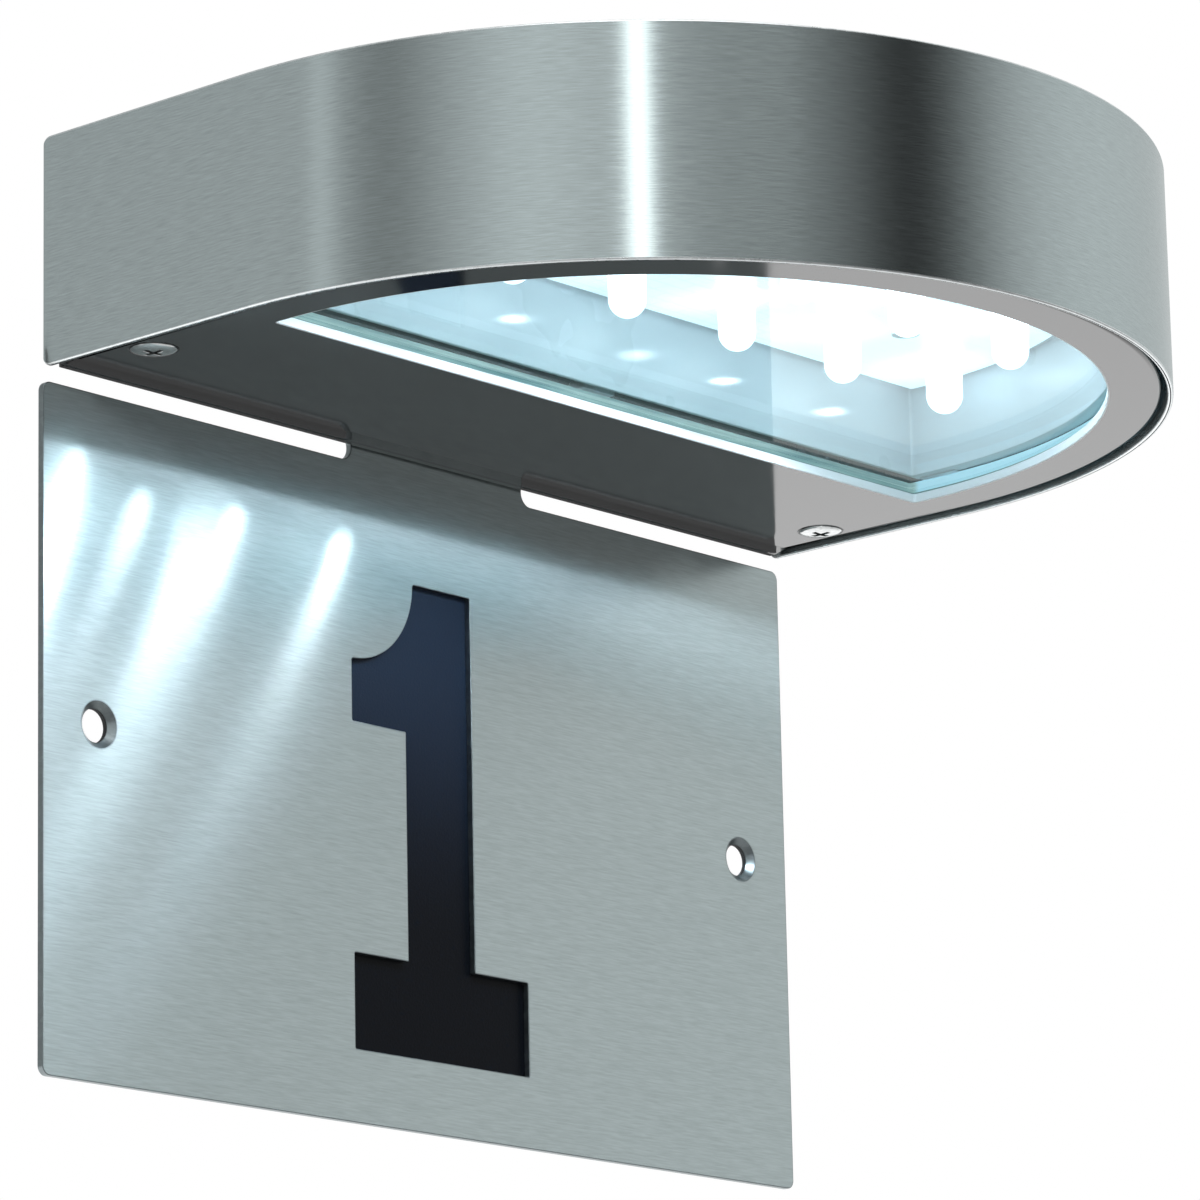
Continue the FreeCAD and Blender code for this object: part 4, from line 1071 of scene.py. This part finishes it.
def shaded_wall_card():
    """Two dark cards behind the slots, standing in for the shaded wall there: a painted dark
    reflection.
    Only a surface that mirrors them from more than 4 mm away sees them. Each bows away from the
    plate by bow (share of its height)^2."""
    bow, gap, middle, half, margin, steps = 0.3, 0.2, 72, 5, 3, 9
    neck_left, neck_right, grid = -24.0, 27.0, []
    for start, stop in ((PLATE_LOW[0] - margin, neck_left), (neck_right, PLATE_HIGH[0] + margin)):
        grid += [(x * MM, (gap + bow * v ** 2) * MM, (middle + half * v) * MM)
                 for v in np.linspace(-1, 1, steps) for x in np.linspace(start, stop, steps)]
    index = np.arange(len(grid)).reshape(2, steps, steps)
    quads = np.stack([index[:, :-1, :-1], index[:, :-1, 1:], index[:, 1:, 1:],
                      index[:, 1:, :-1]], -1)
    mesh = bpy.data.meshes.new("shaded_wall_card")
    mesh.from_pydata(grid, [], quads.reshape(-1, 4).tolist())
    material, n = finish("card_painted_dark_reflection")
    # Glossy rays alone see the cards' dark emission: a painted reflection of a shaded wall.
    far = n.ray("Ray Length").above(0.004, 0.0005)
    n.show(n.mix(n.ray("Is Glossy Ray") * far, n.clear(), n.glow(0.15)))
    mesh.materials.append(material)
    card = bpy.data.objects.new("shaded_wall_card", mesh)
    bpy.context.scene.collection.objects.link(card)


def photo_camera(lens):
    """Camera in front of the sign on its left, low, looking up to it."""
    camera = bpy.data.cameras.new("camera")
    camera.sensor_fit = "HORIZONTAL"
    camera.sensor_width = 36.0
    camera.lens = lens
    camera.clip_start = 0.05
    thing = bpy.data.objects.new("camera", camera)
    right, up, ahead = ((0.66496, -0.74661, -0.01998), (-0.16644, -0.17421, 0.97054),
                        (0.72809, 0.64205, 0.24011))
    turn = Matrix((right, up, [-a for a in ahead])).transposed().to_4x4()
    thing.matrix_world = Matrix.Translation((-0.96011, -0.89648, -0.28226)) @ turn
    bpy.context.scene.collection.objects.link(thing)
    bpy.context.scene.camera = thing


class SIGN_OT_stage(bpy.types.Operator):
    """Floor, cards, room light, soft light, LED beams and camera"""

    bl_idname = "sign.stage"
    bl_label = "Stage"

    def execute(self, context):
        studio = context.scene.sign_studio
        context.scene.view_settings.view_transform = "Standard"
        studio_world(studio)
        pale_floor()
        shaded_wall_card()
        soft_lamp("top_light", (-0.3, -0.5, 1.2), (0, -0.06, 0.05), 0.9, studio.key)
        for node in LEDS:
            led_beam(node, context.scene.sign_colours.light, studio.beam)
        photo_camera(studio.lens)
        return {"FINISHED"}


# ---------------------------------------------------------------- panel and registration
PIECES = (SIGN_OT_kept_nodes, SIGN_OT_wall_plate, SIGN_OT_housing_band, SIGN_OT_cover_frame,
          SIGN_OT_glass_pane, SIGN_OT_cover_screws, SIGN_OT_light_tray, SIGN_OT_leds,
          SIGN_OT_stage)


class SIGN_PT_build(bpy.types.Panel):
    """Build steps of the number sign"""

    bl_idname = "SIGN_PT_build"
    bl_label = "Number sign"
    bl_space_type = "VIEW_3D"
    bl_region_type = "UI"
    bl_category = "Number Sign"

    def draw(self, context):
        for group in (context.scene.sign_sizes, context.scene.sign_colours,
                      context.scene.sign_studio):
            for name in group.__annotations__:
                self.layout.prop(group, name)
        for step in PIECES:
            self.layout.operator(step.bl_idname)


CLASSES = (SignSizes, SignColours, SignStudio) + PIECES + (SIGN_PT_build,)


def register():
    for cls in CLASSES:
        bpy.utils.register_class(cls)
    bpy.types.Scene.sign_sizes = PointerProperty(type=SignSizes)
    bpy.types.Scene.sign_colours = PointerProperty(type=SignColours)
    bpy.types.Scene.sign_studio = PointerProperty(type=SignStudio)


def unregister():
    del bpy.types.Scene.sign_studio
    del bpy.types.Scene.sign_colours
    del bpy.types.Scene.sign_sizes
    for cls in reversed(CLASSES):
        bpy.utils.unregister_class(cls)


def main():
    """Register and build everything."""
    register()
    scene = bpy.context.scene
    make_finishes(scene.sign_sizes, scene.sign_colours, scene.sign_studio)
    for step in PIECES:
        group, name = step.bl_idname.split(".")
        getattr(getattr(bpy.ops, group), name)()


if __name__ == "__main__":
    main()
